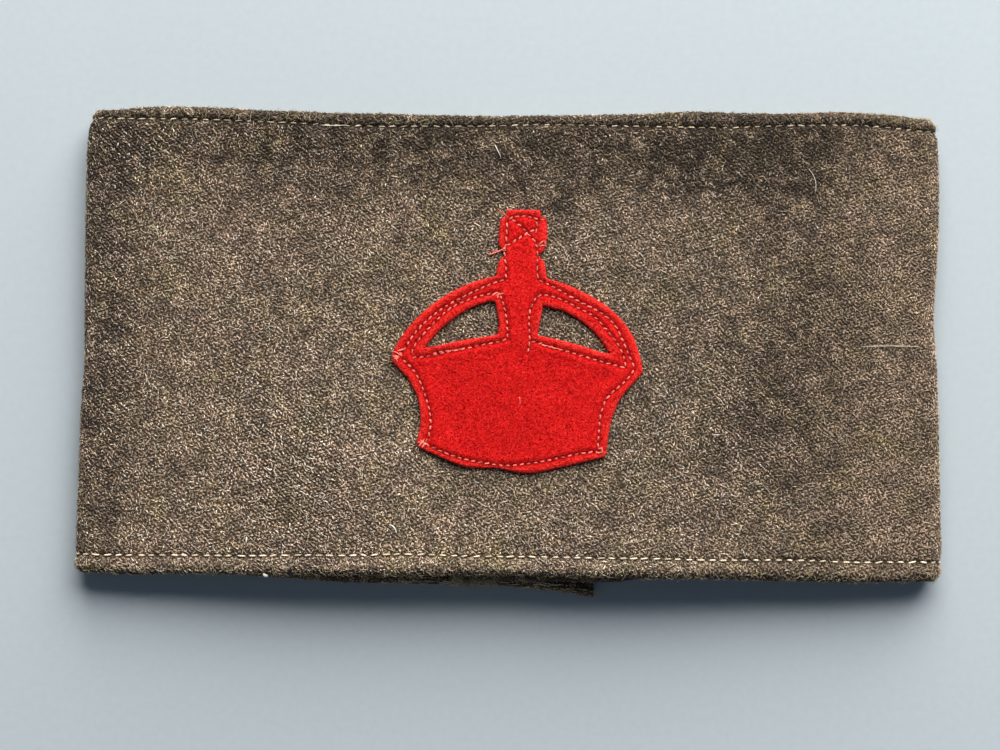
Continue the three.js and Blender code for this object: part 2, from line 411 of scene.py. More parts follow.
class SharedGroups:
    """The effects that several finishes share, each built once as a node group."""

    def __init__(self) -> None:
        """Builds all the groups."""
        self.mottle = self._mottle()
        self.soiling_and_shade = self._soiling_and_shade()
        self.fleck = self._fleck()
        self.weave = self._weave()
        self.twist = self._twist()

    @staticmethod
    def _group(name: str, inputs: dict[str, object], outputs: Sequence[str],
               ) -> tuple[Tree, NodeBench, dict[str, Socket], Node]:
        """Starts a group with named sockets.

        Args:
            name: The group's name.
            inputs: First value of each input: a number, a colour, or None for a place.
            outputs: Name of each output, which is a colour if it is called Colour.

        Returns:
            The group, its bench, the sockets of its inputs and its output node.
        """
        tree = bpy.data.node_groups.new(name, "ShaderNodeTree")
        for title, start in inputs.items():
            kind = {type(None): "Vector", float: "Float", tuple: "Color"}[type(start)]
            socket = tree.interface.new_socket(title, in_out="INPUT",
                                               socket_type="NodeSocket" + kind)
            if start is not None:
                socket.default_value = start
        for title in outputs:
            kind = "Color" if title == "Colour" else "Float"
            tree.interface.new_socket(title, in_out="OUTPUT", socket_type="NodeSocket" + kind)
        bench = NodeBench(tree)
        return tree, bench, bench.add("NodeGroupInput").outputs, bench.add("NodeGroupOutput")

    def _mottle(self) -> Tree:
        """Builds the drift of a mixed wool between olive, brown and a redder brown.

        Returns:
            The group: Colour, Place in millimetres and Strength in, Colour out.
        """
        tree, bench, given, target = self._group(
            "Mixed wool", {"Colour": WOOL, "Place": None, "Strength": 1.0}, ("Colour",))
        place, strength = given["Place"], given["Strength"]
        tints = bench.ramp(bench.noise(place, 0.125, 4.0, 0.6), (
            (0.30, (0.97, 0.98, 0.80)), (0.43, (1.0, 0.99, 0.94)),
            (0.56, (1.01, 0.985, 1.0)), (0.70, (1.03, 0.975, 1.00))))
        lights = bench.ramp(bench.noise(place, 0.2, 5.0, 0.6), (
            (0.36, (0.70, 0.70, 0.71)), (0.50, (1.02, 1.02, 1.02)), (0.64, (1.33, 1.32, 1.30))))
        tinted = bench.tint(given["Colour"], tints, strength)
        bench.fill(target, Colour=bench.tint(tinted, lights, strength))
        return tree

    def _soiling_and_shade(self) -> Tree:
        """Builds the dark staining of worn wool, which also lays the painted shade of the hems and
        folds.

        Returns:
            The group: Colour, Place in millimetres and Amount in, Colour out.
        """
        tree, bench, given, target = self._group(
            "Soiling and shade", {"Colour": WOOL, "Place": None, "Amount": 0.0}, ("Colour",))
        cloud = bench.noise(given["Place"], 1 / 3.4, 3.0, 0.5, 0.6)
        broken = bench.spread(cloud, 0.30, 0.62, 0.45, 1.35)
        mask = bench.sum("MINIMUM", bench.sum("MULTIPLY", given["Amount"], broken), 1.0)
        bench.fill(target, Colour=bench.tint(given["Colour"], (0.15, 0.132, 0.112), mask))
        return tree

    def _fleck(self) -> Tree:
        """Builds the fine worm-like flecks between matted fibres.

        Returns:
            The group: Place in millimetres and Scale in, Fleck and Height out.
        """
        tree, bench, given, target = self._group(
            "Fibre flecks", {"Place": None, "Scale": 2.6}, ("Fleck", "Height"))
        place, scale = given["Place"], given["Scale"]
        coarse = bench.noise(place, scale, 3.0, 1.6, 0.6)
        fine = bench.noise(place, bench.sum("MULTIPLY", scale, 2.7), 2.0, 2.2, 0.6)
        both = bench.sum("ADD", bench.sum("MULTIPLY", coarse, 0.6),
                         bench.sum("MULTIPLY", fine, 0.4))
        bench.fill(target, Fleck=bench.spread(both, 0.36, 0.64), Height=both)
        return tree

    def _weave(self) -> Tree:
        """Builds the yarns of the serge, with dark holes between their floats.

        Returns:
            The group: Place in millimetres in, Float and Hole out.
        """
        tree, bench, given, target = self._group(
            "Serge weave", {"Place": None}, ("Float", "Hole"))
        place = given["Place"]
        drift = bench.add("ShaderNodeTexNoise", Vector=place, Scale=0.35,
                          Detail=2.0).outputs["Color"]
        centred = bench.vector("SUBTRACT", drift, (0.5, 0.5, 0.5))
        moved = bench.vector("MULTIPLY_ADD", centred, (0.7, 0.7, 0.0), place)
        total = 0.0
        for along, across in WEAVE.rates():
            rate = (2 * math.pi * along, 2 * math.pi * across, 0.0)
            turn = bench.work("ShaderNodeVectorMath", "DOT_PRODUCT", (moved, rate))
            total = bench.sum("ADD", bench.sum("COSINE", turn.outputs["Value"]), total)
        bench.fill(target, Float=bench.spread(total, -1.5, 2.4),
                   Hole=bench.spread(total, -1.3, 0.5, 1.0, 0.0))
        return tree

    def _twist(self) -> Tree:
        """Builds the slanting plies of a twisted sewing thread.

        Returns:
            The group: Ply, the length along the slant in millimetres, and Pitch in, Groove out.
        """
        tree, bench, given, target = self._group(
            "Thread twist", {"Ply": 0.0, "Pitch": 0.36}, ("Groove",))
        turns = bench.sum("DIVIDE", given["Ply"], given["Pitch"])
        wave = bench.sum("SINE", bench.sum("MULTIPLY", turns, 2 * math.pi))
        bench.fill(target, Groove=bench.sum("ADD", bench.sum("MULTIPLY", wave, 0.5), 0.5))
        return tree


@dataclass(frozen=True)
class Finish:
    """What the finishes have in common: a matt Principled shader with a fine relief."""

    groups: SharedGroups
    name: str = "finish"
    roughness: float = 0.95
    sheen: float = 0.10
    tint: Colour = (1.0, 1.0, 1.0)
    specular: float = 0.1
    relief: float = 1.0
    relief_depth: float = 0.1

    def build(self) -> Material:
        """Builds the material, with its even values on the shader's own sockets.

        Returns:
            The material.
        """
        material = bpy.data.materials.new(self.name)
        material.use_nodes = True
        shader = material.node_tree.nodes["Principled BSDF"]
        even = {"Roughness": self.roughness, "Sheen Weight": self.sheen, "Sheen Roughness": 0.6,
                "Sheen Tint": (*self.tint, 1.0), "Specular IOR Level": self.specular}
        for socket, value in even.items():
            shader.inputs[socket].default_value = value
        bench = NodeBench(material.node_tree)
        colour, height = self.surface(bench)
        bench.feed(shader.inputs["Base Color"], colour)
        if height is not None:
            bump = bench.add("ShaderNodeBump", Strength=self.relief,
                             Distance=self.relief_depth * MM, Height=height)
            bench.feed(shader.inputs["Normal"], bump.outputs[0])
        return material

    def surface(self, bench: NodeBench) -> tuple[Socket, Socket | None]:
        """Draws the colour and the height of the surface."""
        raise NotImplementedError

    def _mottled(self, bench: NodeBench, colour: Socket, place: Socket, strength: float) -> Socket:
        """Lays the drift of mixed wool over a colour."""
        return bench.group(self.groups.mottle, Colour=colour, Place=place,
                           Strength=strength).outputs["Colour"]

    def _soiled_and_shaded(self, bench: NodeBench, colour: Socket, place: Socket) -> Socket:
        """Lays the piece's own soil and painted shade over a colour."""
        return bench.group(self.groups.soiling_and_shade, Colour=colour, Place=place,
                           Amount=bench.value_of("soil_and_shade")).outputs["Colour"]


@dataclass(frozen=True)
class SergeFinish(Finish):
    """The matted ground of the serge, with its twill where the nap has worn off."""

    name: str = "serge_ground"
    tint: Colour = (0.85, 0.78, 0.68)
    relief_depth: float = 0.30
    dark: Colour = (0.013, 0.008, 0.004)
    middle: Colour = (0.122, 0.084, 0.051)
    pale: Colour = (0.430, 0.325, 0.228)
    palest: float = 1.6
    hole: Colour = (0.07, 0.065, 0.06)
    # gain for the plain faces, which also paints light onto the shaded lower edge of the outer flap
    plain_and_painted_light_gain: Colour = (4.0, 4.0, 3.8)

    def surface(self, bench: NodeBench) -> tuple[Socket, Socket]:
        """Draws flecks, yarns and holes, lighter where no nap is raised on the cloth, with painted
        light on the outer flap's lower edge.

        Args:
            bench: The material's bench.

        Returns:
            The sockets with the colour and the height.
        """
        cloth, place = bench.on_the_cloth(), bench.in_millimetres()
        fleck = bench.group(self.groups.fleck, Place=cloth, Scale=2.5).outputs
        weave = bench.group(self.groups.weave, Place=cloth).outputs
        ground = bench.ramp(fleck["Fleck"], (
            (0.10, self.dark), (0.48, self.middle), (0.76, self.pale),
            (1.0, tuple(self.palest * part for part in self.pale))))
        showing = bench.spread(bench.value_of("bare"), 0.0, 1.0, 0.80, 1.0)
        woven = bench.tint(ground, self.hole, bench.sum("MULTIPLY", weave["Hole"], showing))
        woven = bench.tint(woven, self.plain_and_painted_light_gain, bench.value_of("plain_and_painted_light"))
        colour = self._soiled_and_shaded(bench, self._mottled(bench, woven, place, 0.8), place)
        return colour, bench.sum("ADD", fleck["Height"],
                                 bench.sum("MULTIPLY", weave["Float"], showing))


@dataclass(frozen=True)
class NapFinish(Finish):
    """The raised locks of fibre on the serge, each in its own tone."""

    name: str = "serge_nap"
    roughness: float = 0.92
    sheen: float = 0.15
    tint: Colour = (0.90, 0.85, 0.78)
    specular: float = 0.15
    relief: float = 0.5
    relief_depth: float = 0.06
    tones: tuple[tuple[float, Colour], ...] = (
        (0.0, (0.026, 0.015, 0.009)), (0.18, (0.133, 0.083, 0.050)),
        (0.42, (0.465, 0.326, 0.214)), (0.66, (0.645, 0.492, 0.360)),
        (0.90, (0.745, 0.615, 0.490)), (1.0, (0.900, 0.830, 0.720)))

    def surface(self, bench: NodeBench) -> tuple[Socket, Socket]:
        """Draws each lock in its tone, streaked along by its fibres.

        Args:
            bench: The material's bench.

        Returns:
            The sockets with the colour and the height.
        """
        place, lock = bench.in_millimetres(), bench.ramp(bench.value_of("tone"), self.tones)
        streak = bench.ramp(bench.noise(place, 1 / 0.35, 2.0, 0.5), (
            (0.38, (0.62, 0.62, 0.62)), (0.62, (1.22, 1.22, 1.22))))
        colour = self._mottled(bench, bench.tint(lock, streak), place, 1.0)
        return self._soiled_and_shaded(bench, colour, place), bench.noise(place, 1 / 0.12, 1.0)


@dataclass(frozen=True)
class FeltFinish(Finish):
    """The dyed felt of the crown, fine grained and nearly without gloss."""

    name: str = "crown_felt"
    tint: Colour = (1.0, 0.16, 0.12)
    specular: float = 0.02
    relief: float = 0.75
    relief_depth: float = 0.16
    deep: Colour = (0.130, 0.001, 0.002)
    full: Colour = (0.490, 0.0040, 0.0050)
    bright: Colour = (0.810, 0.034, 0.028)
    # painted shade in the sewn rows
    drawn: Colour = (0.30, 0.20, 0.20)
    # pinker fluff at the cut edges, also a painted highlight on the rims
    fluff_and_rim_highlight: Colour = (1.16, 2.6, 2.1)

    def surface(self, bench: NodeBench) -> tuple[Socket, Socket]:
        """Draws the felt's grain, with painted shade in the sewn rows, and pinker where it is
        fluffed up at the cut edges, which also paints their highlight.

        Args:
            bench: The material's bench.

        Returns:
            The sockets with the colour and the height.
        """
        place = bench.in_millimetres()
        fleck = bench.group(self.groups.fleck, Place=place, Scale=2.2).outputs
        ground = bench.ramp(fleck["Fleck"], (
            (0.05, self.deep), (0.50, self.full), (1.0, self.bright)))
        cloudy = bench.ramp(bench.noise(place, 1 / 3.2, 2.0, 0.4), (
            (0.35, (0.93, 0.93, 0.93)), (0.62, (1.04, 1.04, 1.04))))
        drawn = bench.tint(bench.tint(ground, cloudy), self.drawn, bench.value_of("drawn"))
        return bench.tint(drawn, self.fluff_and_rim_highlight, bench.value_of("fluff_and_rim_highlight")), fleck["Height"]


@dataclass(frozen=True)
class ThreadFinish(Finish):
    """Twisted sewing thread, a little fuzzy and soiled."""

    name: str = "hem_thread"
    roughness: float = 0.80
    tint: Colour = (1.0, 0.95, 0.85)
    specular: float = 0.2
    relief: float = 0.8
    relief_depth: float = 0.08
    light: Colour = (0.860, 0.740, 0.550)
    shade: Colour = (0.560, 0.440, 0.290)
    pitch: float = 0.42
    # colour of the painted shade at the stitch's ends
    ends: Colour = (0.45, 0.42, 0.38)

    def surface(self, bench: NodeBench) -> tuple[Socket, Socket]:
        """Draws the plies, each stitch in its tone, with painted shade where it dips into the
        cloth.

        Args:
            bench: The material's bench.

        Returns:
            The sockets with the colour and the height.
        """
        groove = bench.group(self.groups.twist, Ply=bench.value_of("ply"),
                             Pitch=self.pitch).outputs["Groove"]
        tone = bench.ramp(bench.value_of("tone"), (
            (0.0, (0.52, 0.50, 0.48)), (0.6, (1.0, 1.0, 1.0)), (1.0, (1.25, 1.25, 1.25))))
        # painted shade toward the stitch's ends, where it dips into the cloth
        sunk = bench.ramp(bench.value_of("reach"), (
            (0.55, (1.0, 1.0, 1.0)), (0.80, self.ends), (1.0, self.ends)))
        thread = bench.tint(bench.tint(bench.mix(groove, self.shade, self.light), tone), sunk)
        return self._soiled_and_shaded(bench, thread, bench.in_millimetres()), groove


@dataclass(frozen=True)
class StrayFinish(Finish):
    """Loose strands and hairs, from olive wool to pale hair by their tone."""

    name: str = "stray_fibre"
    roughness: float = 0.75
    tint: Colour = (1.0, 0.97, 0.90)
    specular: float = 0.3
    relief: float = 0.4
    relief_depth: float = 0.04
    tones: tuple[tuple[float, Colour], ...] = (
        (0.0, (0.080, 0.066, 0.042)), (0.50, (0.350, 0.295, 0.150)),
        (1.0, (0.800, 0.760, 0.680)))

    def surface(self, bench: NodeBench) -> tuple[Socket, Socket]:
        """Draws each strand in its tone."""
        place, strand = bench.in_millimetres(), bench.ramp(bench.value_of("tone"), self.tones)
        return self._mottled(bench, strand, place, 0.6), bench.noise(place, 5.0)


@dataclass(frozen=True)
class FloorFinish(Finish):
    """Plain pale card."""

    name: str = "pale_floor"
    sheen: float = 0.0
    colour: Colour = (0.370, 0.415, 0.440)
    grain: float = 0.02

    def surface(self, bench: NodeBench) -> tuple[Socket, None]:
        """Draws the card's faint grain, without relief.

        Args:
            bench: The material's bench.

        Returns:
            The socket with the colour, and no height.
        """
        low, high = (tuple((1 + side * self.grain) * part for part in self.colour)
                     for side in (-1, 1))
        grain = bench.noise(bench.in_millimetres(), 1 / 1.6, 3.0)
        return bench.ramp(grain, ((0.3, low), (0.7, high))), None


# The strip and its loop


class FrontRow(NamedTuple):
    """The front at one place along it: height above the folds, and its two hem edges."""

    x: float
    rise: float
    top: float
    bottom: float


class FlapRow(NamedTuple):
    """How far the outer flap has slipped down from under the front at one place."""

    x: float
    slip: float


class FoldRow(NamedTuple):
    """How far each pressed fold stands out at one place across the band."""

    y: float
    left: float
    right: float


class SewingRow(NamedTuple):
    """Where the two hem rows run at one place along the front."""

    x: float
    top: float
    bottom: float


class Blot(NamedTuple):
    """A soft patch on the front: its middle, half its width and depth, strength and turn."""

    x: float
    y: float
    wide: float
    deep: float
    amount: float
    turn: float = 0.0


FRONT = table(
    FrontRow,
    (-90.8, 0.0, 51.2, -51.0), (-85, 0.45, 51.5, -51.1),
    (-74, 1.75, 51.8, -51.0), (-58, 3.3, 51.2, -50.9),
    (-40, 4.6, 50.3, -50.8), (-20, 5.3, 50.0, -50.7),
    (2, 5.6, 49.8, -50.6), (20, 5.3, 50.4, -50.7),
    (40, 4.4, 51.5, -50.9), (56, 3.1, 51.3, -51.1),
    (72, 2.1, 52.1, -51.2), (84, 0.9, 51.8, -51.2),
    (90.8, 0.0, 51.0, -51.0),
)
FLAP = table(
    FlapRow,
    (-90.8, 0.0), (-62, 0.2), (-48, 1.1), (-37, 1.8),
    (-24, 2.0), (-3, 2.1), (8, 3.0), (19, 4.7),
)
FOLD_EDGE = table(
    FoldRow,
    (-51, 0.3, 0.1), (-46, 0.65, 0.7), (-33, 0.4, 0.5),
    (-16, 0.2, 0.2), (-4, -0.4, -0.2), (7, -0.2, -0.9),
    (18, -0.1, -0.2), (32, 0.0, 0.3), (46, -0.2, 0.0),
    (51, -1.2, -0.8),
)
HEM_SEWING = table(
    SewingRow,
    (-90.8, 49.5, -47.2), (-76, 49.2, -47.2), (-60, 48.6, -47.2),
    (-46, 47.9, -47.0), (-36, 47.6, -46.8),
    (-24, 47.5, -46.35), (-8, 47.7, -46.55), (10, 48.0, -46.8),
    (40, 48.1, -46.9), (66, 49.1, -46.9), (76, 49.2, -47.3),
    (90.8, 48.3, -47.2),
)
STAINS_AND_FOLD_SHADE = table(
    Blot,
    (-5, 49, 95, 15, 0.52), (10, 38, 62, 9, 0.16),
    (50, 43, 18, 12, 0.46), (-48, 30, 12, 5, 0.14, 0.2),
    (8, 29, 7, 4, 0.24), (66, 2, 15, 50, 0.27),
    (58, -15, 9, 9, 0.16), (28, 4, 40, 30, 0.12),
    # the two tall blots on the folds are painted shade, not stains
    (-91, 0, 9, 80, 0.34), (95, 0, 9, 80, 0.18),
    (-26, -44, 48, 11, -0.30), (-40, -21, 19, 15, -0.32),
    (72, -50, 34, 5, 0.30),
)
GROUND_SOIL = 0.21  # on the front where there is no stain
# Stretches in x where the top hem row lies free of the nap
TOP_ROW_SHOWS = ((-83, -57), (-54, -47), (-36, -22), (36, 50))
WORN = table(
    Blot,
    (-48, -28, 13, 20, 0.85, 0.25), (-84, 42, 10, 9, 0.80),
    (-88, 5, 5, 40, 0.55), (50, -20, 13, 17, 0.45, 0.2),
    (72, 12, 10, 18, 0.35), (-55, 44, 22, 6, 0.45),
    (48, 42, 18, 7, 0.50),
)


@dataclass
class StripLoop:
    """The outer face of the strip as it lies: flap, left fold, front, right fold and back.

    A place on it is a length s along the loop from the middle of the front, and a distance v
    across it that goes on round the rolled hems to the turned-in cloth behind them.
    """

    cloth: float = 1.5
    fold_centre: float = 90.8
    fold_radius: float = 4.2
    hem_round: float = 1.65
    hem_turn: float = 8.5
    outer_end: float = 19.0
    inner_end: float = -10.0
    inner_slip: float = 1.0
    lap_lift: float = 3.6
    lap_from: float = 32.5
    lap_to: float = 20.5
    floor_clearance: float = 0.32
    hem_pitch: float = 2.45
    hem_puff: float = 0.34
    hem_groove: float = 0.46
    path: dict[str, Array] = field(default_factory=dict)
    left_fold: float = 0.0
    left_front: float = 0.0
    right_front: float = 0.0
    right_fold: float = 0.0

    def __post_init__(self) -> None:
        """Traces the loop finely once, for every later look-up."""
        centre, radius = self.fold_centre, self.fold_radius
        first, last = FRONT[0], FRONT[-1]
        flap = np.linspace(self.outer_end, -centre, 441)[:-1]
        left = np.linspace(-0.5, -1.5, 121)[:-1] * math.pi
        across = np.linspace(-centre, centre, 1461)[:-1]
        right = np.linspace(0.5, -0.5, 121)[:-1] * math.pi
        back = np.linspace(centre, self.inner_end, 405)
        slip = read(FLAP, "slip", flap)
        climb = smooth_step(-back, -self.lap_from, -self.lap_to)
        dropped = self.inner_slip * climb
        top, bottom = read(FRONT, "top", across), read(FRONT, "bottom", across)
        high = top - read(HEM_SEWING, "top", across)
        low = read(HEM_SEWING, "bottom", across) - bottom
        runs = (
            (flap, 0, first.top - slip, first.bottom - slip, 0, high[0], low[0]),
            (radius * np.cos(left) - centre, radius * (1 + np.sin(left)), first.top, first.bottom,
             0, high[0], low[0]),
            (across, 2 * radius + read(FRONT, "rise", across), top, bottom, 1, high, low),
            (radius * np.cos(right) + centre, radius * (1 + np.sin(right)), last.top, last.bottom,
             0, high[-1], low[-1]),
            (back, self.lap_lift * climb, last.top - dropped, last.bottom - dropped, 0,
             high[-1], low[-1]),
        )
        names = ("x", "z", "top", "bottom", "front", "seam_top", "seam_bottom")
        self.path = {name: np.concatenate([np.broadcast_to(run[k], len(run[0])).astype(float)
                                           for run in runs]) for k, name in enumerate(names)}
        x, z = self.path["x"], self.path["z"]
        s = reached(np.stack([x, z], axis=1))
        s -= s[len(flap) + len(left) + len(across) // 2]
        along_x, along_z = np.gradient(x), np.gradient(z)
        length = np.hypot(along_x, along_z)
        self.path.update(s=s, nx=-along_z / length, nz=along_x / length)
        starts = np.cumsum([len(run[0]) for run in runs])
        self.left_fold, self.left_front, self.right_front, self.right_fold = s[starts[:4]]

    @property
    def start(self) -> float:
        """Where the outer flap ends, as a length along the loop."""
        return float(self.path["s"][0])

    @property
    def end(self) -> float:
        """Where the inner strip ends, as a length along the loop."""
        return float(self.path["s"][-1])

    def at(self, name: str, s: Array) -> Array:
        """Reads one column of the traced loop at lengths s."""
        return np.interp(s, self.path["s"], self.path[name])

    def s_of_front(self, x: Array) -> Array:
        """Turns a place x on the front into a length along the loop."""
        front = self.path["front"] > 0.5
        return np.interp(x, self.path["x"][front], self.path["s"][front])

    def s_of_flap(self, x: Array) -> Array:
        """Turns a place x on the outer flap into a length along the loop."""
        flap = self.path["s"] < self.left_fold
        return np.interp(x, self.path["x"][flap][::-1], self.path["s"][flap][::-1])

    def edges(self, s: Array) -> tuple[Array, Array]:
        """Gives the top and bottom hem edges, hand-pressed and so not quite even.

        Args:
            s: Lengths along the loop.

        Returns:
            The y of the top edge and of the bottom edge.
        """
        top = self.at("top", s) + 0.10 * np.sin(s / 6.9 + 0.4) + 0.06 * np.sin(s / 2.7)
        bottom = self.at("bottom", s) + 0.10 * np.sin(s / 8.3 + 2.0) + 0.06 * np.sin(s / 3.1)
        return top, bottom

    def seams(self, s: Array) -> tuple[Array, Array]:
        """Gives where the two hem rows run.

        Args:
            s: Lengths along the loop.

        Returns:
            The y of the top row and of the bottom row.
        """
        top, bottom = self.at("top", s), self.at("bottom", s)
        drift = 0.10 * np.sin(s / 11.0) + 0.05 * np.sin(s / 4.1)
        return top - self.at("seam_top", s) + drift, bottom + self.at("seam_bottom", s) + drift

    def place(self, s: Array, y: Array, out: Array) -> Array:
        """Places points that stand off the outer face.

        Args:
            s: Lengths along the loop.
            y: Places across the band.
            out: Distances out of the outer face, negative into the cloth.

        Returns:
            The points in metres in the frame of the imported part.
        """
        x, z = self.at("x", s), self.at("z", s)
        reach = np.minimum(np.abs(x) / self.fold_centre, 1)
        free = self.at("front", s) * np.sqrt(np.maximum(np.cos(math.pi / 2 * reach), 0))
        roll = 0.32 * np.sin(x / 15.5 + y / 34 + 0.6) + 0.22 * np.sin(y / 17 - x / 41 + 1.9)
        edge = -0.45 * (np.abs(y) / 51) ** 4
        soft = 0.09 * np.sin(x / 5.6 + 1.9 * np.sin(y / 13)) * np.sin(y / 6.4 + np.sin(x / 12))
        lift = out + free * (roll + edge + soft)
        pull = np.where(x < 0, read(FOLD_EDGE, "left", y), read(FOLD_EDGE, "right", y))
        pull = pull * np.minimum(np.abs(x) / 95, 1) ** 4
        outer = np.clip(1 + out / self.cloth, 0, 1)
        off_floor = np.maximum(self.floor_clearance - z, 0) * outer
        points = np.stack([x + self.at("nx", s) * lift + np.sign(x) * pull, y,
                           z + self.at("nz", s) * lift + off_floor], axis=-1)
        points[..., 2] = np.maximum(points[..., 2], 0.03)
        return (points + np.array(FRAME_SHIFT)) * MM

    def skin(self, s: Array, v: Array, out: Array) -> Array:
        """Places points on the cloth's outer skin, which goes on round the rolled hems.

        Args:
            s: Lengths along the loop.
            v: Distances across, along the skin.
            out: Distances out of the skin.

        Returns:
            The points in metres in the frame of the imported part.
        """
        top, bottom = self.edges(s)
        side = np.where(v > 0, 1.0, -1.0)
        start = np.where(v > 0, top - self.hem_round, bottom + self.hem_round)
        over = side * (v - start)
        angle = np.clip(over / self.hem_round, 0, math.pi)
        turned = np.maximum(over - math.pi * self.hem_round, 0)
        radius = self.hem_round + out
        y = np.where(over <= 0, v, start + side * (radius * np.sin(angle) - turned))
        depth = np.where(over <= 0, out, radius * np.cos(angle) - self.hem_round)
        return self.place(s, y, depth)

    def relief(self, s: Array, v: Array) -> Array:
        """Gives how the sewing shapes the outer skin: a drawn-in row and a plump roll beyond it.

        Args:
            s: Lengths along the loop.
            v: Distances across, along the skin.

        Returns:
            The height of the skin over its even face.
        """
        turn = 2 * math.pi * s / self.hem_pitch
        height = np.zeros(np.broadcast(s, v).shape)
        for side, edge, seam in zip((1.0, -1.0), self.edges(s), self.seams(s)):
            past = side * (v - seam)
            reach = side * (edge - seam) - self.hem_round * (1 - 0.8 * math.pi)
            swell = np.sin(math.pi * np.clip(past / reach, 0, 1))
            height += self.hem_puff * swell * (0.82 + 0.18 * np.cos(turn))
            height -= self.hem_groove * np.exp(-(past / 0.5) ** 2) * (0.8 - 0.2 * np.cos(turn))
        return height

    def face(self, s: Array, v: Array, out: Array) -> Array:
        """Places points that stand off the sewn skin, as skin does for the even one."""
        return self.skin(s, v, out + self.relief(s, v))

    def painted_hem_shade(self, s: Array, v: Array) -> Array:
        """Gives the painted shade in the groove above the top row and under the lower edge, a
        painted highlight on the roll below the bottom row, and a darker top roll.

        Args:
            s: Lengths along the loop.
            v: Distances across, along the skin.

        Returns:
            What it adds to the soil and painted shade at each place.
        """
        high, low = self.seams(s)
        above, below = v - high, low - v
        # painted shade in the top groove and under the lower edge, painted highlight on the lower
        # roll
        return (1.30 * np.exp(-((above - 0.45) / 0.50) ** 2)
                + 0.14 * np.exp(-((above - 2.6) / 1.2) ** 2)
                - 0.20 * np.exp(-((below - 1.3) / 1.0) ** 2)
                + 0.85 * smooth_step(below, 2.3, 4.1))

    def patches(self, blots: Sequence[Blot], s: Array, v: Array, elsewhere: float,
                ground: float = 0.0) -> Array:
        """Adds up soft patches on the front.

        Args:
            blots: The patches.
            s: Lengths along the loop.
            v: Distances across.
            elsewhere: The value on the back.
            ground: The value on the front where there is no patch.

        Returns:
            The sum at each place, from 0 to 1.
        """
        x = self.at("x", s)
        total = np.full(np.broadcast(s, v).shape, ground)
        for blot in blots:
            dx, dy = x - blot.x, v - blot.y
            along = dx * math.cos(blot.turn) + dy * math.sin(blot.turn)
            across = dy * math.cos(blot.turn) - dx * math.sin(blot.turn)
            far = (along / blot.wide) ** 2 + (across / blot.deep) ** 2
            total += blot.amount * np.exp(-(far ** 1.3))
        top_side = self.upward(s)
        return np.clip(top_side * total + (1 - top_side) * elsewhere, 0, 1)

    def upward(self, s: Array) -> Array:
        """Tells the front, at 1, from the back, at 0."""
        return smooth_step(self.at("nz", s), -0.6, 0.4)

    def worn(self, s: Array, v: Array) -> Array:
        """Gives how far the nap has worn off, from 0 to 1."""
        return self.patches(WORN, s, v, 0.3, 0.15)

    def soil_and_shade(self, s: Array, v: Array) -> Array:
        """Gives the soil of the cloth with the painted shade and highlight of its hems."""
        return self.patches(STAINS_AND_FOLD_SHADE, s, v, 0.35, GROUND_SOIL) + self.painted_hem_shade(s, v)


# Strands: nap and stitches are copies of a few modelled forms, hairs are thin tubes


@dataclass
class StrandForm:
    """One short closed strand, modelled by hand once and then copied along the cloth."""

    sides: int
    rings: tuple[Pair, ...]
    tip: float = 0.1

    def model(self) -> tuple[Array, Array]:
        """Models the strand standing on end, one unit long and with a radius of one.

        Returns:
            Its points, with z along it from 0 to 1, and the corner numbers of its triangles.
        """
        bpy.ops.object.select_all(action="DESELECT")
        first, radius = self.rings[0]
        if len(self.rings) == 1:
            bpy.ops.mesh.primitive_cone_add(vertices=self.sides, radius1=radius, radius2=0,
                                            depth=1 - first, location=(0, 0, (1 + first) / 2))
        else:
            bpy.ops.mesh.primitive_circle_add(vertices=self.sides, radius=radius,
                                              fill_type="NGON", location=(0, 0, first))
        strand = bpy.context.object
        bpy.ops.object.transform_apply(location=True, rotation=True, scale=True)
        bpy.ops.object.mode_set(mode="EDIT")
        bpy.ops.mesh.select_all(action="SELECT")
        for (low, narrow), (high, wide) in zip(self.rings, self.rings[1:]):
            bpy.ops.mesh.extrude_region_move(
                TRANSFORM_OT_translate={"value": (0, 0, high - low)})
            grow = wide / narrow
            bpy.ops.transform.resize(value=(grow, grow, 1), center_override=(0, 0, high))
        bpy.ops.mesh.select_all(action="SELECT")
        bpy.ops.mesh.normals_make_consistent(inside=False)
        bpy.ops.mesh.select_all(action="DESELECT")
        bpy.ops.object.mode_set(mode="OBJECT")
        for face in strand.data.polygons:
            face.select = abs(face.normal.z) > 0.95
        bpy.ops.object.mode_set(mode="EDIT")
        bpy.ops.mesh.select_mode(type="FACE")
        bpy.ops.mesh.poke(offset=self.tip)
        bpy.ops.object.mode_set(mode="OBJECT")
        mesh = strand.data
        points = np.array([tuple(vertex.co) for vertex in mesh.vertices])
        triangles = []
        for face in mesh.polygons:  # split from the lowest corner, so every run gives the same
            corners = list(face.vertices)
            first = corners.index(min(corners))
            corners = corners[first:] + corners[:first]
            triangles += [(corners[0], *pair) for pair in zip(corners[1:], corners[2:])]
        bpy.data.objects.remove(strand)
        bpy.data.meshes.remove(mesh)
        points[:, 2] = (points[:, 2] - points[:, 2].min()) / np.ptp(points[:, 2])
        return points, np.array(sorted(triangles))


LOCK_FORM = StrandForm(3, ((0.46, 1.0),), 0.85)
STITCH_FORM = StrandForm(6, ((0.08, 0.62), (0.28, 0.95), (0.72, 1.0), (0.92, 0.62)), 0.12)


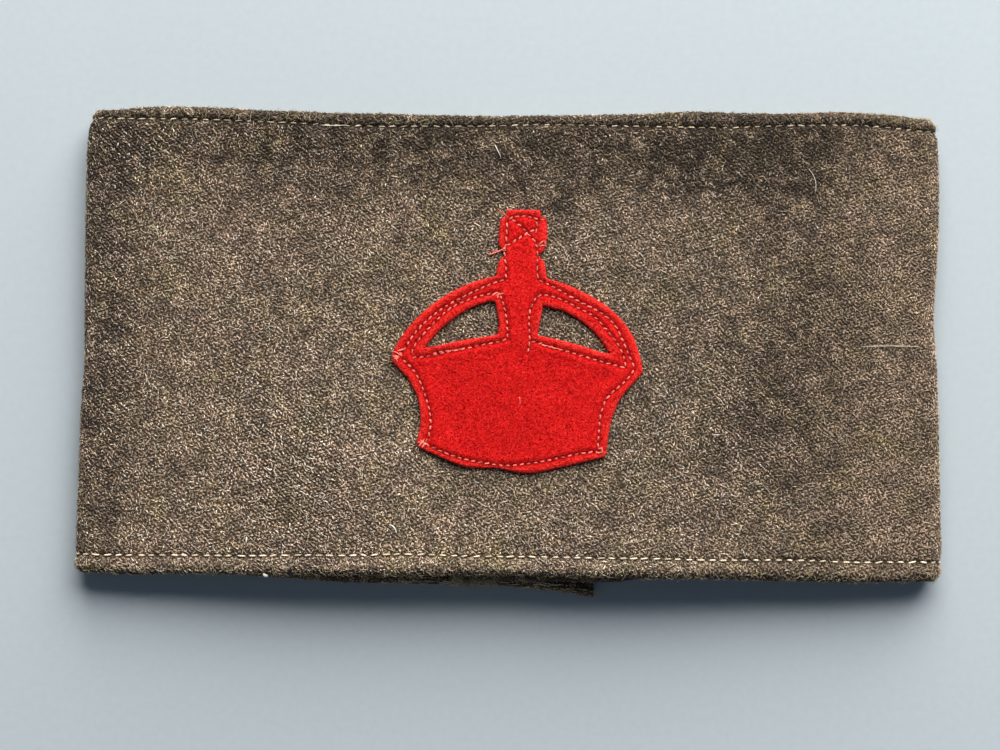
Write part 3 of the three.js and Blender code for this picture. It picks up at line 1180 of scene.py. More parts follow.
@dataclass
class StrandRun:
    """A number of strands laid on a surface: where, which way, how long, thick and curved."""

    a: Array
    b: Array
    heading: Array
    length: Array
    radius: Array
    bend: Array
    start: Array
    arch: Array
    end: Array
    tone: Array
    soil_and_shade: Array

    @staticmethod
    def joined(runs: Sequence["StrandRun"]) -> "StrandRun":
        """Puts several runs into one."""
        return StrandRun(**{name: np.concatenate([getattr(run, name) for run in runs])
                            for name in StrandRun.__dataclass_fields__})

    def lay(self, form: StrandForm, surface: Surface) -> tuple[Array, Array, dict[str, Array]]:
        """Copies the form along every strand.

        Args:
            form: The strand to copy.
            surface: Gives the points for two surface coordinates and a distance out.

        Returns:
            The points, the triangles and the named values of the joined mesh.
        """
        shape, triangles = form.model()
        t = shape[:, 2][None] - 0.5
        heading, bend = self.heading[:, None], self.bend[:, None]
        length, radius = self.length[:, None], self.radius[:, None]
        turned = heading + bend * t
        curve = bend * (t * t - 1 / 12) / 2
        sideways = shape[:, 0][None] * radius
        a = self.a[:, None] + length * (t * np.cos(heading) - curve * np.sin(heading))
        b = self.b[:, None] + length * (t * np.sin(heading) + curve * np.cos(heading))
        a = a - sideways * np.sin(turned)
        b = b + sideways * np.cos(turned)
        share = t + 0.5
        out = (self.start[:, None] * (1 - share) + self.end[:, None] * share
               + 4 * self.arch[:, None] * share * (1 - share) + shape[:, 1][None] * radius)
        points = surface(a.ravel(), b.ravel(), out.ravel())
        count = len(shape)
        copies = np.arange(len(self.a))[:, None, None] * count
        faces = (triangles[None] + copies).reshape(-1, 3)
        values = {
            "tone": np.repeat(self.tone, count),
            "soil_and_shade": np.repeat(self.soil_and_shade, count),
            "ply": (share * length + 0.9 * sideways).ravel(),
            "reach": np.abs(2 * np.broadcast_to(share, a.shape) - 1).ravel(),
        }
        return points, faces, values


def scatter(rng: Chance, along: Pair, across: Pair, spacing: float) -> tuple[Array, Array]:
    """Scatters places evenly but irregularly over a rectangle.

    Args:
        rng: The source of chance.
        along: First and last edge along.
        across: First and last edge across.
        spacing: Mean distance between places.

    Returns:
        The two coordinates of the places.
    """
    spans = along[1] - along[0], across[1] - across[0]
    counts = [int(span / spacing) for span in spans]
    cells = np.meshgrid(*map(np.arange, counts), indexing="ij")
    return tuple(start + (cell.ravel() + rng.random(cell.size)) / count * span
                 for start, cell, count, span in zip((along[0], across[0]), cells, counts, spans))


def tubes(paths: Array, radius: Array, sides: int) -> tuple[Array, Array]:
    """Makes thin closed tubes along paths.

    Args:
        paths: Points of each path, shaped strands by points by three, in metres.
        radius: Radius of each tube at each point, in metres.
        sides: Number of sides.

    Returns:
        The points and triangles of the joined mesh.
    """
    strands, steps, _ = paths.shape
    along = np.gradient(paths, axis=1)
    along /= np.linalg.norm(along, axis=2, keepdims=True) + 1e-12
    guide = np.where(np.abs(along[:, :1, 2:3]) > 0.8, [[[1.0, 0.0, 0.0]]], [[[0.0, 0.0, 1.0]]])
    across = np.cross(along, np.broadcast_to(guide, along.shape))
    across /= np.linalg.norm(across, axis=2, keepdims=True) + 1e-12
    lift = np.cross(across, along)
    angle = np.arange(sides) / sides * 2 * math.pi
    ring = (across[:, :, None] * np.cos(angle)[:, None]
            + lift[:, :, None] * np.sin(angle)[:, None])
    points = paths[:, :, None] + ring * radius[:, :, None, None]
    body = points.reshape(strands, steps * sides, 3)
    ends = np.stack([paths[:, 0], paths[:, -1]], axis=1)
    points = np.concatenate([body, ends], axis=1)
    faces = []
    for k in range(steps - 1):
        for j in range(sides):
            near, far = k * sides + j, k * sides + (j + 1) % sides
            faces += [(near, near + sides, far), (far, near + sides, far + sides)]
    last = (steps - 1) * sides
    for j in range(sides):
        far = (j + 1) % sides
        faces += [(steps * sides, j, far), (steps * sides + 1, last + far, last + j)]
    block = np.array(faces)[:, ::-1]
    count = steps * sides + 2
    copies = np.arange(strands)[:, None, None] * count
    return points.reshape(-1, 3), (block[None] + copies).reshape(-1, 3)


class StrayHair(NamedTuple):
    """A hair on the front: where it starts, bends and ends, its radius and how pale it is."""

    start: Pair
    bend: Pair
    end: Pair
    radius: float
    tone: float

    def curve(self, t: Array) -> tuple[Array, Array]:
        """Gives the x and y of places along the hair, at shares t of its length."""
        return tuple((1 - t) ** 2 * a + 2 * t * (1 - t) * b + t * t * c
                     for a, b, c in zip(self.start, self.bend, self.end))


STRAY_HAIRS = table(
    StrayHair,
    ((-3.9, 43.4), (-3.2, 42.0), (-2.5, 40.6), 0.09, 1.0),
    ((65.3, 39.2), (67.4, 37.0), (66.7, 33.8), 0.055, 0.85),
    ((-42.6, 47.7), (-39.6, 47.4), (-36.6, 47.7), 0.07, 0.9),
    ((77.3, 0.1), (84.0, 0.6), (91.4, 0.3), 0.06, 0.85),
    ((-53.4, -50.7), (-53.0, -51.0), (-52.6, -51.6), 0.34, 1.0),
    ((-53.1, -52.0), (-53.0, -52.3), (-52.9, -52.6), 0.20, 1.0),
    ((-57.0, -43.0), (-56.9, -43.6), (-57.1, -44.4), 0.20, 1.0),
    ((-26.0, -40.0), (-24.6, -40.2), (-24.4, -42.0), 0.17, 1.0),
    ((-81.0, 24.8), (-78.0, 26.4), (-77.8, 21.9), 0.06, 0.7),
    ((30.4, -9.5), (33.8, -10.8), (34.9, -14.2), 0.05, 0.7),
    ((-36.0, 14.6), (-33.1, 16.4), (-30.0, 15.0), 0.05, 0.7),
    ((52.6, -30.2), (55.5, -29.4), (57.0, -32.6), 0.05, 0.75),
    ((9.0, -38.2), (12.4, -38.0), (13.1, -40.2), 0.05, 0.75),
)
THREAD_ENDS = table(
    StrayHair,
    ((-1.4, 20.6), (-3.0, 19.7), (-5.0, 19.1), 0.16, 0.9),
    ((-1.2, 20.1), (-2.8, 20.0), (-4.4, 19.9), 0.12, 0.3),
    ((-1.0, 27.4), (-1.9, 28.2), (-3.1, 29.2), 0.08, 0.5),
    ((6.2, 21.0), (7.3, 21.4), (7.6, 20.9), 0.12, 0.6),
    ((-23.8, -3.2), (-25.4, -2.0), (-25.9, -2.4), 0.12, 0.8),
    ((-23.9, -2.6), (-25.1, -3.6), (-24.6, -4.6), 0.12, 0.7),
    ((-19.0, -22.2), (-20.0, -21.6), (-20.2, -22.8), 0.11, 0.6),
    ((2.0, -12.0), (2.3, -12.8), (2.1, -13.7), 0.07, 0.9),
)


# The band


class LockShape(NamedTuple):
    """Length, radius, rise and tone of one kind of lock."""

    length: float
    radius: float
    arch: float
    end: float
    tone: float
    spread: float


class Lock(Enum):
    """The kinds of locks in the nap."""

    ON_A_FLOAT = LockShape(1.05, 0.180, 0.10, 0.05, 0.55, 0.25)
    FINE = LockShape(1.00, 0.105, 0.20, 0.16, 0.60, 0.25)
    LONG = LockShape(1.70, 0.085, 0.22, 0.20, 0.62, 0.20)


@dataclass
class SergeBand:
    """The band: one strip of serge with turned hems, pressed flat with its ends lapped behind."""

    loop: StripLoop
    crown: "FeltCrown"
    front_step: float = 1.1
    fold_step: float = 0.75
    back_step: float = 2.6
    middle_step: float = 1.15
    hem_step: float = 0.36
    fine_spacing: float = 0.92
    long_spacing: float = 2.1
    back_density: float = 0.28
    nap_fold: float = 3.0
    nap_reach: float = 56.0
    under_felt: float = 0.25
    beside_thread: float = 0.34
    fibres: int = 2600
    top_row_sunk: float = 0.10
    stitch: float = 1.90
    lap_rows: Pair = (16.4, -6.6)
    cut_width: float = 0.119
    cut_length: float = 0.416
    pieces: list[Piece] = field(default_factory=list)

    def build(self, groups: SharedGroups) -> Piece:
        """Builds the cloth and all that grows on it or is sewn into it.

        Args:
            groups: The shared node groups.

        Returns:
            The cloth piece.
        """
        cloth, loop = self._cloth(), self.loop
        cloth.data.materials.append(SergeFinish(groups).build())
        nap = NapFinish(groups).build()
        thread = ThreadFinish(groups).build()
        stray = StrayFinish(groups).build()
        left, right = loop.left_fold + self.nap_fold, loop.right_fold - self.nap_fold
        parts = (("nap_front_left", left, 0.0, 1.0), ("nap_front_right", 0.0, right, 1.0),
                 ("nap_back_left", loop.start + 0.6, left, self.back_density),
                 ("nap_back_right", right, loop.end - 0.6, self.back_density))
        for seed, part in enumerate(parts, 11):
            self._add(self._nap(*part, seed), nap)
        for make, material in ((self._long_nap, nap), (self._down, stray),
                               (self._hem_stitches, thread), (self._lap_stitches, thread),
                               (self._frayed_ends, stray), (self._hairs, stray)):
            self._add(make(), material)
        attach(cloth, "root")
        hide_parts("serge_band")
        return report(cloth)

    def _add(self, piece: Piece, material: Material) -> None:
        """Dresses a piece that belongs to the band and lists it."""
        piece.data.materials.append(material)
        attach(piece, "root")
        self.pieces.append(report(piece))

    def _across(self, s: Array) -> Array:
        """Spaces the rows of the cloth's mesh from hem end to hem end at each station.

        Args:
            s: Lengths along the loop.

        Returns:
            Distances across, stations by rows.
        """
        loop = self.loop
        top, bottom = loop.edges(s)
        arc, turned = math.pi * loop.hem_round, loop.hem_turn - loop.hem_round
        hem = 5.4
        flat_turn = arc + turned - turned * np.linspace(0, 1, 5)[:-1]
        rolled = arc - arc * np.linspace(0, 1, 11)[:-1]
        sewn = -np.linspace(0, hem, int(round(hem / self.hem_step)) + 1)
        side = np.concatenate([flat_turn, rolled, sewn])
        high = top[:, None] - loop.hem_round + side[None]
        low = bottom[:, None] + loop.hem_round - side[None]
        inner_high, inner_low = high[:, -1], low[:, -1]
        rows = int(round(np.ptp([inner_low.mean(), inner_high.mean()]) / self.middle_step))
        share = np.linspace(0, 1, rows + 1)[1:-1][None]
        middle = inner_low[:, None] + share * (inner_high - inner_low)[:, None]
        return np.concatenate([low, middle, high[:, ::-1]], axis=1)

    def _cloth(self) -> Piece:
        """Makes the cloth: its outer and inner skins, closed along the hems and at both ends.

        Returns:
            The cloth piece.
        """
        loop = self.loop
        marks = ((loop.start, loop.left_fold, self.back_step),
                 (loop.left_fold, loop.left_front, self.fold_step),
                 (loop.left_front, loop.right_front, self.front_step),
                 (loop.right_front, loop.right_fold, self.fold_step),
                 (loop.right_fold, loop.end, self.back_step))
        runs = [np.linspace(low, high, int(round((high - low) / step)) + 1)[:-1]
                for low, high, step in marks]
        stations = np.concatenate([*runs, [loop.end]])
        v = self._across(stations)
        s = np.repeat(stations[:, None], v.shape[1], axis=1)
        outer = loop.face(s, v, np.zeros_like(s))
        inner = loop.skin(s, v, np.full_like(s, -loop.cloth))
        count, rows = s.shape
        grid = np.arange(count * rows).reshape(count, rows)
        other = grid + count * rows
        quads = [self._sheet_faces(grid), self._sheet_faces(other)[:, ::-1]]
        quads += [self._rim(grid[:, 0], other[:, 0]), self._rim(other[:, -1], grid[:, -1]),
                  self._rim(other[0], grid[0]), self._rim(grid[-1], other[-1])]
        points = np.concatenate([outer.reshape(-1, 3), inner.reshape(-1, 3)])
        bare = loop.worn(s, v).ravel()
        soil_and_shade = np.clip(loop.soil_and_shade(s, v).ravel() + 0.04 + 0.12 * bare, 0, 1)
        plain_and_painted_light = 0.24 * (1 - loop.upward(s))
        # painted light on the lower edge of the outer flap, which lies in the front's shade
        painted_light_brink = (s < loop.left_fold) * smooth_step(-v, 47.5, 49.5)
        plain_and_painted_light, lining_and_painted_light = np.maximum(plain_and_painted_light, 0.9 * painted_light_brink).ravel(), np.maximum(0.42, painted_light_brink).ravel()
        flat = np.stack([s.ravel() + UV_SPAN / 2, v.ravel() + UV_SPAN / 2], axis=1) / UV_SPAN
        return make_piece("band_cloth", points, np.concatenate(quads),
                          {"soil_and_shade": np.tile(soil_and_shade, 2), "bare": np.tile(bare, 2),
                           "plain_and_painted_light": np.concatenate([plain_and_painted_light, lining_and_painted_light])},
                          np.tile(flat, (2, 1)))

    @staticmethod
    def _sheet_faces(grid: Array) -> Array:
        """Lists the faces of a grid of point numbers, facing the outer side."""
        return np.stack([grid[:-1, :-1], grid[1:, :-1], grid[1:, 1:], grid[:-1, 1:]],
                        axis=-1).reshape(-1, 4)

    @staticmethod
    def _rim(near: Array, far: Array) -> Array:
        """Lists the faces that join two lines of point numbers."""
        return np.stack([near[:-1], far[:-1], far[1:], near[1:]], axis=-1)

    def _nap(self, name: str, s_from: float, s_to: float, density: float,
             seed: int) -> Piece:
        """Raises the matted fibre on part of the loop: a lock on every float, and finer ones.

        Args:
            name: The piece's name.
            s_from: Where the part starts along the loop.
            s_to: Where it ends.
            density: Share of the floats that have a lock, and of the finer locks.
            seed: Start of its chance.

        Returns:
            The nap piece.
        """
        loop, rng = self.loop, np.random.default_rng(seed)
        reach = self.nap_reach
        s, v = WEAVE.floats(s_from, s_to, reach)
        chosen = rng.random(len(s)) < density
        s, v = s[chosen], v[chosen]
        loose = rng.normal(0, 1, (2, len(s))) * (0.24 - 0.14 * loop.worn(s, v))
        runs = [self._locks(rng, s + loose[0], v + loose[1], Lock.ON_A_FLOAT)]
        s, v = scatter(rng, (s_from, s_to), (-reach, reach), self.fine_spacing / density ** 0.5)
        runs.append(self._locks(rng, s, v, Lock.FINE))
        return make_piece(name, *StrandRun.joined(runs).lay(LOCK_FORM, loop.face))

    def _long_nap(self) -> Piece:
        """Lays the longer, curled locks that lie over the others on the front.

        Returns:
            The nap piece.
        """
        loop, rng = self.loop, np.random.default_rng(15)
        s, v = scatter(rng, (loop.left_fold + self.nap_fold, loop.right_fold - self.nap_fold),
                       (-self.nap_reach, self.nap_reach), self.long_spacing)
        form = StrandForm(3, ((0.24, 1.0), (0.76, 0.85)), 0.24)
        return make_piece("nap_front_long", *self._locks(rng, s, v, Lock.LONG).lay(form, loop.face))

    def _locks(self, rng: Chance, s: Array, v: Array, kind: Lock) -> StrandRun:
        """Lists locks of one kind where the cloth is open.

        Args:
            rng: The source of chance.
            s: Lengths along the loop.
            v: Distances across.
            kind: The kind of lock.

        Returns:
            The run of locks.
        """
        loop = self.loop
        top, bottom = loop.edges(s)
        reach = loop.hem_round * 0.7
        places = np.stack([loop.at("x", s), v], axis=1)
        free = ~(self.crown.covers(places, self.under_felt) & (loop.at("front", s) > 0.5))
        free &= (v < top + reach) & (v > bottom - reach)
        for seam in loop.seams(s):
            free &= np.abs(v - seam) > self.beside_thread
        s, v = s[free], v[free]
        count = len(s)
        worn, shape = loop.worn(s, v), kind.value
        felted = smooth_step(loop.at("x", s), 40.0, 92.0)
        across, up = WEAVE.rates()[2]
        # soil with the painted shade of the hems and folds, and the twill's dark specks where worn
        dirt_and_shade = loop.soil_and_shade(s, v) + 0.38 * worn * np.cos(math.pi * (across * s + up * v))
        spread = shape.spread * (1 - 0.65 * felted) * (1 + 0.5 * worn)
        tone = rng.normal(shape.tone, spread, count)
        tone = np.where(rng.random(count) < 0.004, rng.uniform(0.9, 1.0, count), tone)
        return StrandRun(
            s, v, -math.pi / 4 + rng.normal(0, 1.0 - 0.4 * worn, count),
            length=shape.length * np.clip(rng.lognormal(0, 0.24, count), 0.5, 2.0),
            radius=shape.radius * rng.uniform(0.8, 1.2, count), bend=rng.normal(0, 1.5, count),
            start=rng.uniform(-0.10, 0.0, count), arch=shape.arch * rng.uniform(0.4, 1.2, count),
            end=rng.uniform(-0.10, shape.end, count), tone=np.clip(tone, 0.02, 1.0),
            soil_and_shade=np.clip(dirt_and_shade * rng.uniform(0.55, 1.45, count), 0, 1))

    def _down(self) -> Piece:
        """Stands fine single fibres up from the cloth, most of them along folds and hems.

        Returns:
            The piece with the fibres.
        """
        loop, rng = self.loop, np.random.default_rng(21)
        count = self.fibres
        s = rng.uniform(loop.left_fold + 2, loop.right_fold - 2, count)
        top, bottom = loop.edges(s)
        at_edge = rng.random(count) < 0.55
        reach = rng.uniform(-0.5, 1.4, count) * loop.hem_round
        edge = np.where(rng.random(count) < 0.5, top - loop.hem_round + reach,
                        bottom + loop.hem_round - reach)
        v = np.where(at_edge, edge, rng.uniform(bottom, top))
        free = ~self.crown.covers(np.stack([loop.at("x", s), v], axis=1), 0.6)
        s, v = s[free], v[free]
        count = len(s)
        strands = StrandRun(
            s, v, rng.uniform(-math.pi, math.pi, count),
            length=rng.uniform(0.7, 2.0, count), radius=rng.uniform(0.028, 0.05, count),
            bend=rng.normal(0, 1.2, count), start=rng.uniform(-0.05, 0.10, count),
            arch=rng.uniform(0.1, 0.3, count), end=rng.uniform(0.1, 0.9, count),
            tone=np.clip(rng.normal(0.45, 0.15, count), 0.1, 0.8), soil_and_shade=np.zeros(count))
        form = StrandForm(3, ((0.10, 1.0), (0.80, 0.6)), 0.2)
        return make_piece("standing_fibres", *strands.lay(form, loop.face))

    def _hem_stitches(self) -> Piece:
        """Sews both hem rows, with the top thread outside and the lower thread inside.

        Returns:
            The piece with the stitches.
        """
        loop, rng = self.loop, np.random.default_rng(31)
        runs = []
        for row, side, sunk in ((0, 1, self.top_row_sunk), (1, -1, 0.0)):
            s = np.arange(loop.start + 1.2, loop.end - 0.8, loop.hem_pitch)
            s = s + rng.normal(0, 0.12, len(s))
            seam, edge = loop.seams(s)[row], loop.edges(s)[row]
            inner = 2 * edge - seam + side * (math.pi - 2) * loop.hem_round
            runs += [self._sewn(rng, s, seam, True, sunk), self._sewn(rng, s, inner, False, sunk)]
        return make_piece("hem_stitches",
                          *StrandRun.joined(runs).lay(STITCH_FORM, self._sewn_face))

    def _sewn_face(self, s: Array, v: Array, out: Array) -> Array:
        """Places points of a stitch, half as deep in the groove as the skin."""
        return self.loop.skin(s, v, out + 0.5 * self.loop.relief(s, v))

    def _sewn(self, rng: Chance, s: Array, v: Array, outside: bool,
              sunk: float) -> StrandRun:
        """Lists one row of hem stitches.

        Args:
            rng: The source of chance.
            s: Middle of each stitch along the loop.
            v: Middle of each stitch across.
            outside: True for the row that shows.
            sunk: How deep it lies.

        Returns:
            The row.
        """
        count = len(s)
        covered = rng.random(count) < (0.30 if sunk else 0.16)
        if sunk:
            x = self.loop.at("x", s)
            covered |= np.all([(x < left) | (x > right) for left, right in TOP_ROW_SHOWS], axis=0)
        low = -0.06 - sunk - 0.22 * covered
        return StrandRun(
            s, v, rng.normal(0.05, 0.09, count), length=rng.normal(self.stitch, 0.20, count),
            radius=rng.uniform(0.20, 0.26, count) * (0.7 if sunk or not outside else 1.0),
            bend=rng.normal(0, 0.12, count), start=low, end=low,
            arch=rng.uniform(0.26, 0.38, count) if outside else np.full(count, 0.14),
            tone=np.clip(rng.normal(0.60, 0.28, count), 0.05, 1.0),
            soil_and_shade=np.clip(self.loop.patches(STAINS_AND_FOLD_SHADE, s, v, 0.2) * 0.3 + (0.28 if sunk else 0.0)
                         + rng.normal(0, 0.08, count), 0, 1))

    def _lap_stitches(self) -> Piece:
        """Sews the two rows that hold the lap together, seen from below.

        Returns:
            The piece with the stitches.
        """
        loop, rng = self.loop, np.random.default_rng(32)
        runs = []
        for x in self.lap_rows:
            y = np.arange(-50.0, 46.5, loop.hem_pitch)
            s = loop.s_of_flap(np.full(len(y), x)) + rng.normal(0, 0.08, len(y))
            top, bottom = loop.edges(s)
            keep = (y > bottom + 2.2) & (y < top - 2.2)
            row = self._sewn(rng, s[keep], y[keep], True, 0.0)
            row.heading = math.pi / 2 + rng.normal(0, 0.07, keep.sum())
            row.arch = np.full(keep.sum(), 0.10)
            runs.append(row)
        return make_piece("lap_stitches", *StrandRun.joined(runs).lay(STITCH_FORM, loop.skin))

    def _frayed_ends(self) -> Piece:
        """Frays the raw ends of the strip, with a tuft at the inner end's lower corner.

        Returns:
            The piece with the loose strands.
        """
        loop, rng = self.loop, np.random.default_rng(41)
        strands = []
        for at, way, count in ((loop.start + 0.3, 1.0, 110), (loop.end - 0.3, -1.0, 130)):
            s = np.full(count, at)
            top, bottom = loop.edges(s)
            v = rng.uniform(bottom + 0.6, top - 0.6)
            root = loop.skin(s, v, rng.uniform(-1.3, -0.2, count)) / MM
            aim = np.array([way, 0.0, 0.0]) * rng.uniform(0.5, 1.9, count)[:, None]
            aim = aim + rng.normal(0, 0.45, (count, 3)) * [0.3, 1.0, 0.25]
            strands.append((root, aim, rng.uniform(0.05, 0.5, count)))
        count = 240
        s = np.full(count, loop.end)
        root = loop.skin(s - 0.5, loop.edges(s)[1] + rng.uniform(-1.5, 2.5, count),
                         rng.uniform(-2.4, 0.0, count)) / MM
        root[:, 0] += rng.uniform(-3.0, 6.0, count)
        aim = (rng.normal(-0.4, 1.5, count), rng.uniform(-3.4, -0.8, count),
               rng.normal(0.25, 0.5, count))
        strands.append((root, np.stack(aim, axis=1), rng.uniform(0.35, 0.62, count)))
        count = 170
        s = loop.s_of_flap(rng.uniform(-28.0, 18.6, count))
        root = loop.skin(s, loop.edges(s)[1] - rng.uniform(1.0, 3.4, count),
                         rng.uniform(-0.05, 0.15, count)) / MM
        aim = (rng.normal(0.0, 2.0, count), rng.uniform(-0.6, 0.2, count),
               rng.normal(0.1, 0.2, count))
        strands.append((root, np.stack(aim, axis=1), rng.uniform(0.5, 0.8, count)))
        count = 90
        s = loop.start + rng.uniform(0.2, 3.0, count)
        root = loop.skin(s, loop.edges(s)[1] + rng.uniform(-0.8, 1.2, count),
                         rng.uniform(-1.2, 0.1, count)) / MM
        aim = (rng.normal(0.5, 0.8, count), rng.uniform(-1.1, 0.2, count),
               rng.normal(0.1, 0.3, count))
        strands.append((root, np.stack(aim, axis=1), rng.uniform(0.25, 0.7, count)))
        root, aim, tone = (np.concatenate(part) for part in zip(*strands))
        t = np.linspace(0, 1, 6)[None, :, None]
        sag = rng.normal(0, 0.22, (len(root), 1, 3)) * np.sin(math.pi * t)
        paths = root[:, None] + aim[:, None] * t + sag
        paths[..., 2] = np.maximum(paths[..., 2], 0.08)
        radius = np.linspace(1.0, 0.45, 6)[None] * rng.uniform(0.045, 0.10, len(root))[:, None]
        points, faces = tubes(paths * MM, radius * MM, 4)
        return make_piece("frayed_ends", points, faces,
                          {"tone": np.repeat(tone, len(points) // len(root))})

    def _hairs(self) -> Piece:
        """Lays the stray hairs and bits of lint that have settled on the front.

        Returns:
            The piece with the hairs.
        """
        loop = self.loop
        paths, radius, tone = [], [], []
        t = np.linspace(0, 1, 12)
        for hair in STRAY_HAIRS:
            x, y = hair.curve(t)
            lift = 0.34 + 0.25 * np.sin(math.pi * t)
            paths.append(loop.face(loop.s_of_front(x), y, lift))
            radius.append(hair.radius * (1 - 0.5 * np.abs(2 * t - 1) ** 3) * MM)
            tone.append(hair.tone)
        points, faces = tubes(np.array(paths), np.array(radius), 5)
        return make_piece("stray_hairs", points, faces,
                          {"tone": np.repeat(tone, len(points) // len(tone))})


# The crown


class Cut(Enum):
    """How the shears went along a stretch of an outline."""

    CURVED = "curved"
    STRAIGHT = "straight"


class Stretch(NamedTuple):
    """One stretch of an outline that the felt is cut to."""

    name: str
    points: tuple[Pair, ...]
    cut: Cut = Cut.CURVED


class SewnRow(NamedTuple):
    """One row of machine stitches on the crown."""

    name: str
    points: tuple[Pair, ...]


CROWN_OUTLINE = table(
    Stretch,
    ("left arch", ((-25.9, -4.4), (-25.3, -1.6), (-22.1, 3.3), (-16.6, 8.5), (-9.4, 12.6),
        (-3.3, 14.4))),
    ("left of the orb", ((-3.2, 15.6), (-2.6, 17.7), (-1.4, 19.0))),
    ("left arm of the cross", ((-1.3, 19.7), (-2.5, 20.7), (-2.9, 21.7), (-2.6, 26.7),
        (-1.4, 27.5), (-1.1, 29.0)), Cut.STRAIGHT),
    ("right arm of the cross", ((6.1, 29.0), (6.3, 27.8), (7.6, 26.9), (7.8, 23.3), (7.5, 21.0),
        (6.6, 19.6)), Cut.STRAIGHT),
    ("right of the orb", ((5.8, 19.0), (7.1, 17.5), (7.5, 15.6))),
    ("right arch", ((7.7, 14.0), (13.4, 12.1), (21.2, 7.8), (26.2, 2.3), (28.2, -2.9),
        (28.9, -6.3))),
    ("right side", ((27.2, -8.2), (23.9, -12.4), (21.9, -17.6), (21.0, -24.1))),
    ("foot", ((20.6, -24.8), (11.1, -27.2), (4.0, -28.5), (-2.6, -27.5), (-9.7, -27.2),
        (-16.6, -24.5), (-19.5, -23.2))),
    ("left side", ((-20.2, -22.0), (-19.5, -17.8), (-20.1, -12.5), (-22.5, -7.9))),
)
LEFT_WINDOW = table(
    Stretch,
    ("under the arch", ((-18.8, -1.4), (-14.7, 3.2), (-9.3, 7.1), (-4.4, 9.0))),
    ("beside the stem", ((-3.4, 8.6), (-2.6, 4.1), (-2.8, 1.7)), Cut.STRAIGHT),
    ("sill", ((-4.1, 1.3), (-11.0, 0.2), (-17.0, -1.2))),
)
RIGHT_WINDOW = table(
    Stretch,
    ("under the arch", ((7.0, 8.0), (12.3, 6.5), (17.9, 2.6), (21.6, -2.2))),
    ("sill", ((19.9, -2.1), (13.6, -0.2), (7.0, 1.3))),
    ("beside the stem", ((5.9, 1.5), (6.2, 3.7)), Cut.STRAIGHT),
)
CROWN_SEWING = table(
    SewnRow,
    ("left arch, outer", (
        (-1.4, 13.6), (-4.2, 12.7), (-7.8, 11.1), (-10.8, 9.6), (-13.4, 8.2), (-16.0, 6.4),
        (-19.0, 3.9), (-21.7, 0.7), (-23.3, -2.1), (-24.5, -3.4))),
    ("left arch, inner", (
        (-2.6, 10.7), (-5.1, 10.4), (-8.9, 9.3), (-13.0, 7.4), (-16.5, 4.3), (-19.3, 1.2),
        (-21.1, -1.1), (-21.6, -2.9))),
    ("beside the stem, left", (
        (-2.5, 10.5), (-2.0, 9.3), (-1.4, 7.3), (-0.9, 4.8), (-0.7, 2.3), (-0.7, 0.7))),
    ("left sill", (
        (-0.7, 0.7), (-2.5, 0.0), (-5.7, -0.6), (-9.2, -1.4), (-13.8, -2.3), (-16.7, -3.0),
        (-18.6, -3.4), (-21.7, -3.6))),
    ("left sill, sewn again", (
        (-10.4, -1.5), (-12.0, -2.0), (-13.8, -2.0), (-15.7, -2.4), (-17.2, -2.8))),
    ("left side", (
        (-23.6, -3.9), (-21.2, -6.2), (-19.7, -8.7), (-18.8, -11.0), (-18.2, -12.7),
        (-17.4, -15.5), (-17.2, -17.7), (-17.6, -20.8), (-18.5, -22.2))),
    ("foot", (
        (-18.5, -22.2), (-16.4, -23.3), (-12.9, -24.7), (-9.0, -25.8), (-5.3, -26.4),
        (-1.5, -26.9), (2.2, -26.7), (5.7, -26.2), (9.4, -25.5), (14.5, -24.3),
        (17.6, -23.8), (19.8, -23.9))),
    ("right side", (
        (19.2, -23.1), (19.2, -21.8), (19.4, -18.6), (19.7, -15.6), (20.9, -12.2),
        (22.8, -10.2), (25.4, -7.9), (27.0, -5.6))),
    ("right arch, outer", (
        (5.8, 13.6), (6.5, 13.4), (10.3, 11.5), (15.0, 8.9), (19.7, 6.5),
        (22.7, 3.9), (24.4, 0.5), (26.0, -3.1), (27.0, -5.3))),
    ("right arch, inner", (
        (5.5, 9.9), (6.9, 10.4), (10.6, 9.5), (15.0, 7.4), (18.2, 5.7), (21.3, 2.3),
        (23.5, -0.5), (24.7, -3.1), (25.1, -5.3))),
    ("beside the stem, right", (
        (5.5, 9.9), (4.5, 7.9), (3.9, 5.9), (4.0, 3.7), (4.1, -0.3), (3.7, -2.5))),
    ("right sill", (
        (4.2, 0.2), (5.9, -0.1), (8.9, -1.1), (12.5, -2.0), (17.6, -3.5), (21.0, -4.4),
        (25.0, -5.4))),
    ("right sill, sewn again", ((6.5, -0.3), (8.0, -1.1), (9.1, -0.8), (10.8, -1.8))),
    ("orb, left", ((-1.5, 20.0), (-1.5, 18.3), (-1.2, 16.8), (-1.2, 13.6))),
    ("orb, right", ((5.6, 20.3), (5.7, 18.3), (5.6, 16.6), (5.8, 13.7))),
    ("cross, top", (
        (-0.8, 26.8), (0.6, 27.5), (2.2, 27.6), (4.2, 27.4), (5.6, 26.9), (7.3, 26.8))),
    ("cross, left", ((-1.0, 26.4), (-1.1, 25.1), (-1.1, 23.1), (-1.5, 20.2))),
    ("cross, slanting down", (
        (-0.2, 27.0), (1.6, 25.7), (2.9, 24.4), (4.3, 22.9), (5.4, 21.7), (5.6, 20.3))),
    ("cross, slanting up", (
        (-1.3, 20.9), (-0.2, 21.6), (1.6, 22.7), (3.4, 23.9), (5.1, 24.7))),
    ("cross, right", ((5.5, 26.7), (5.4, 25.2), (5.2, 23.6))),
    ("cross, foot", ((5.6, 21.1), (6.9, 21.3), (7.4, 21.3))),
)


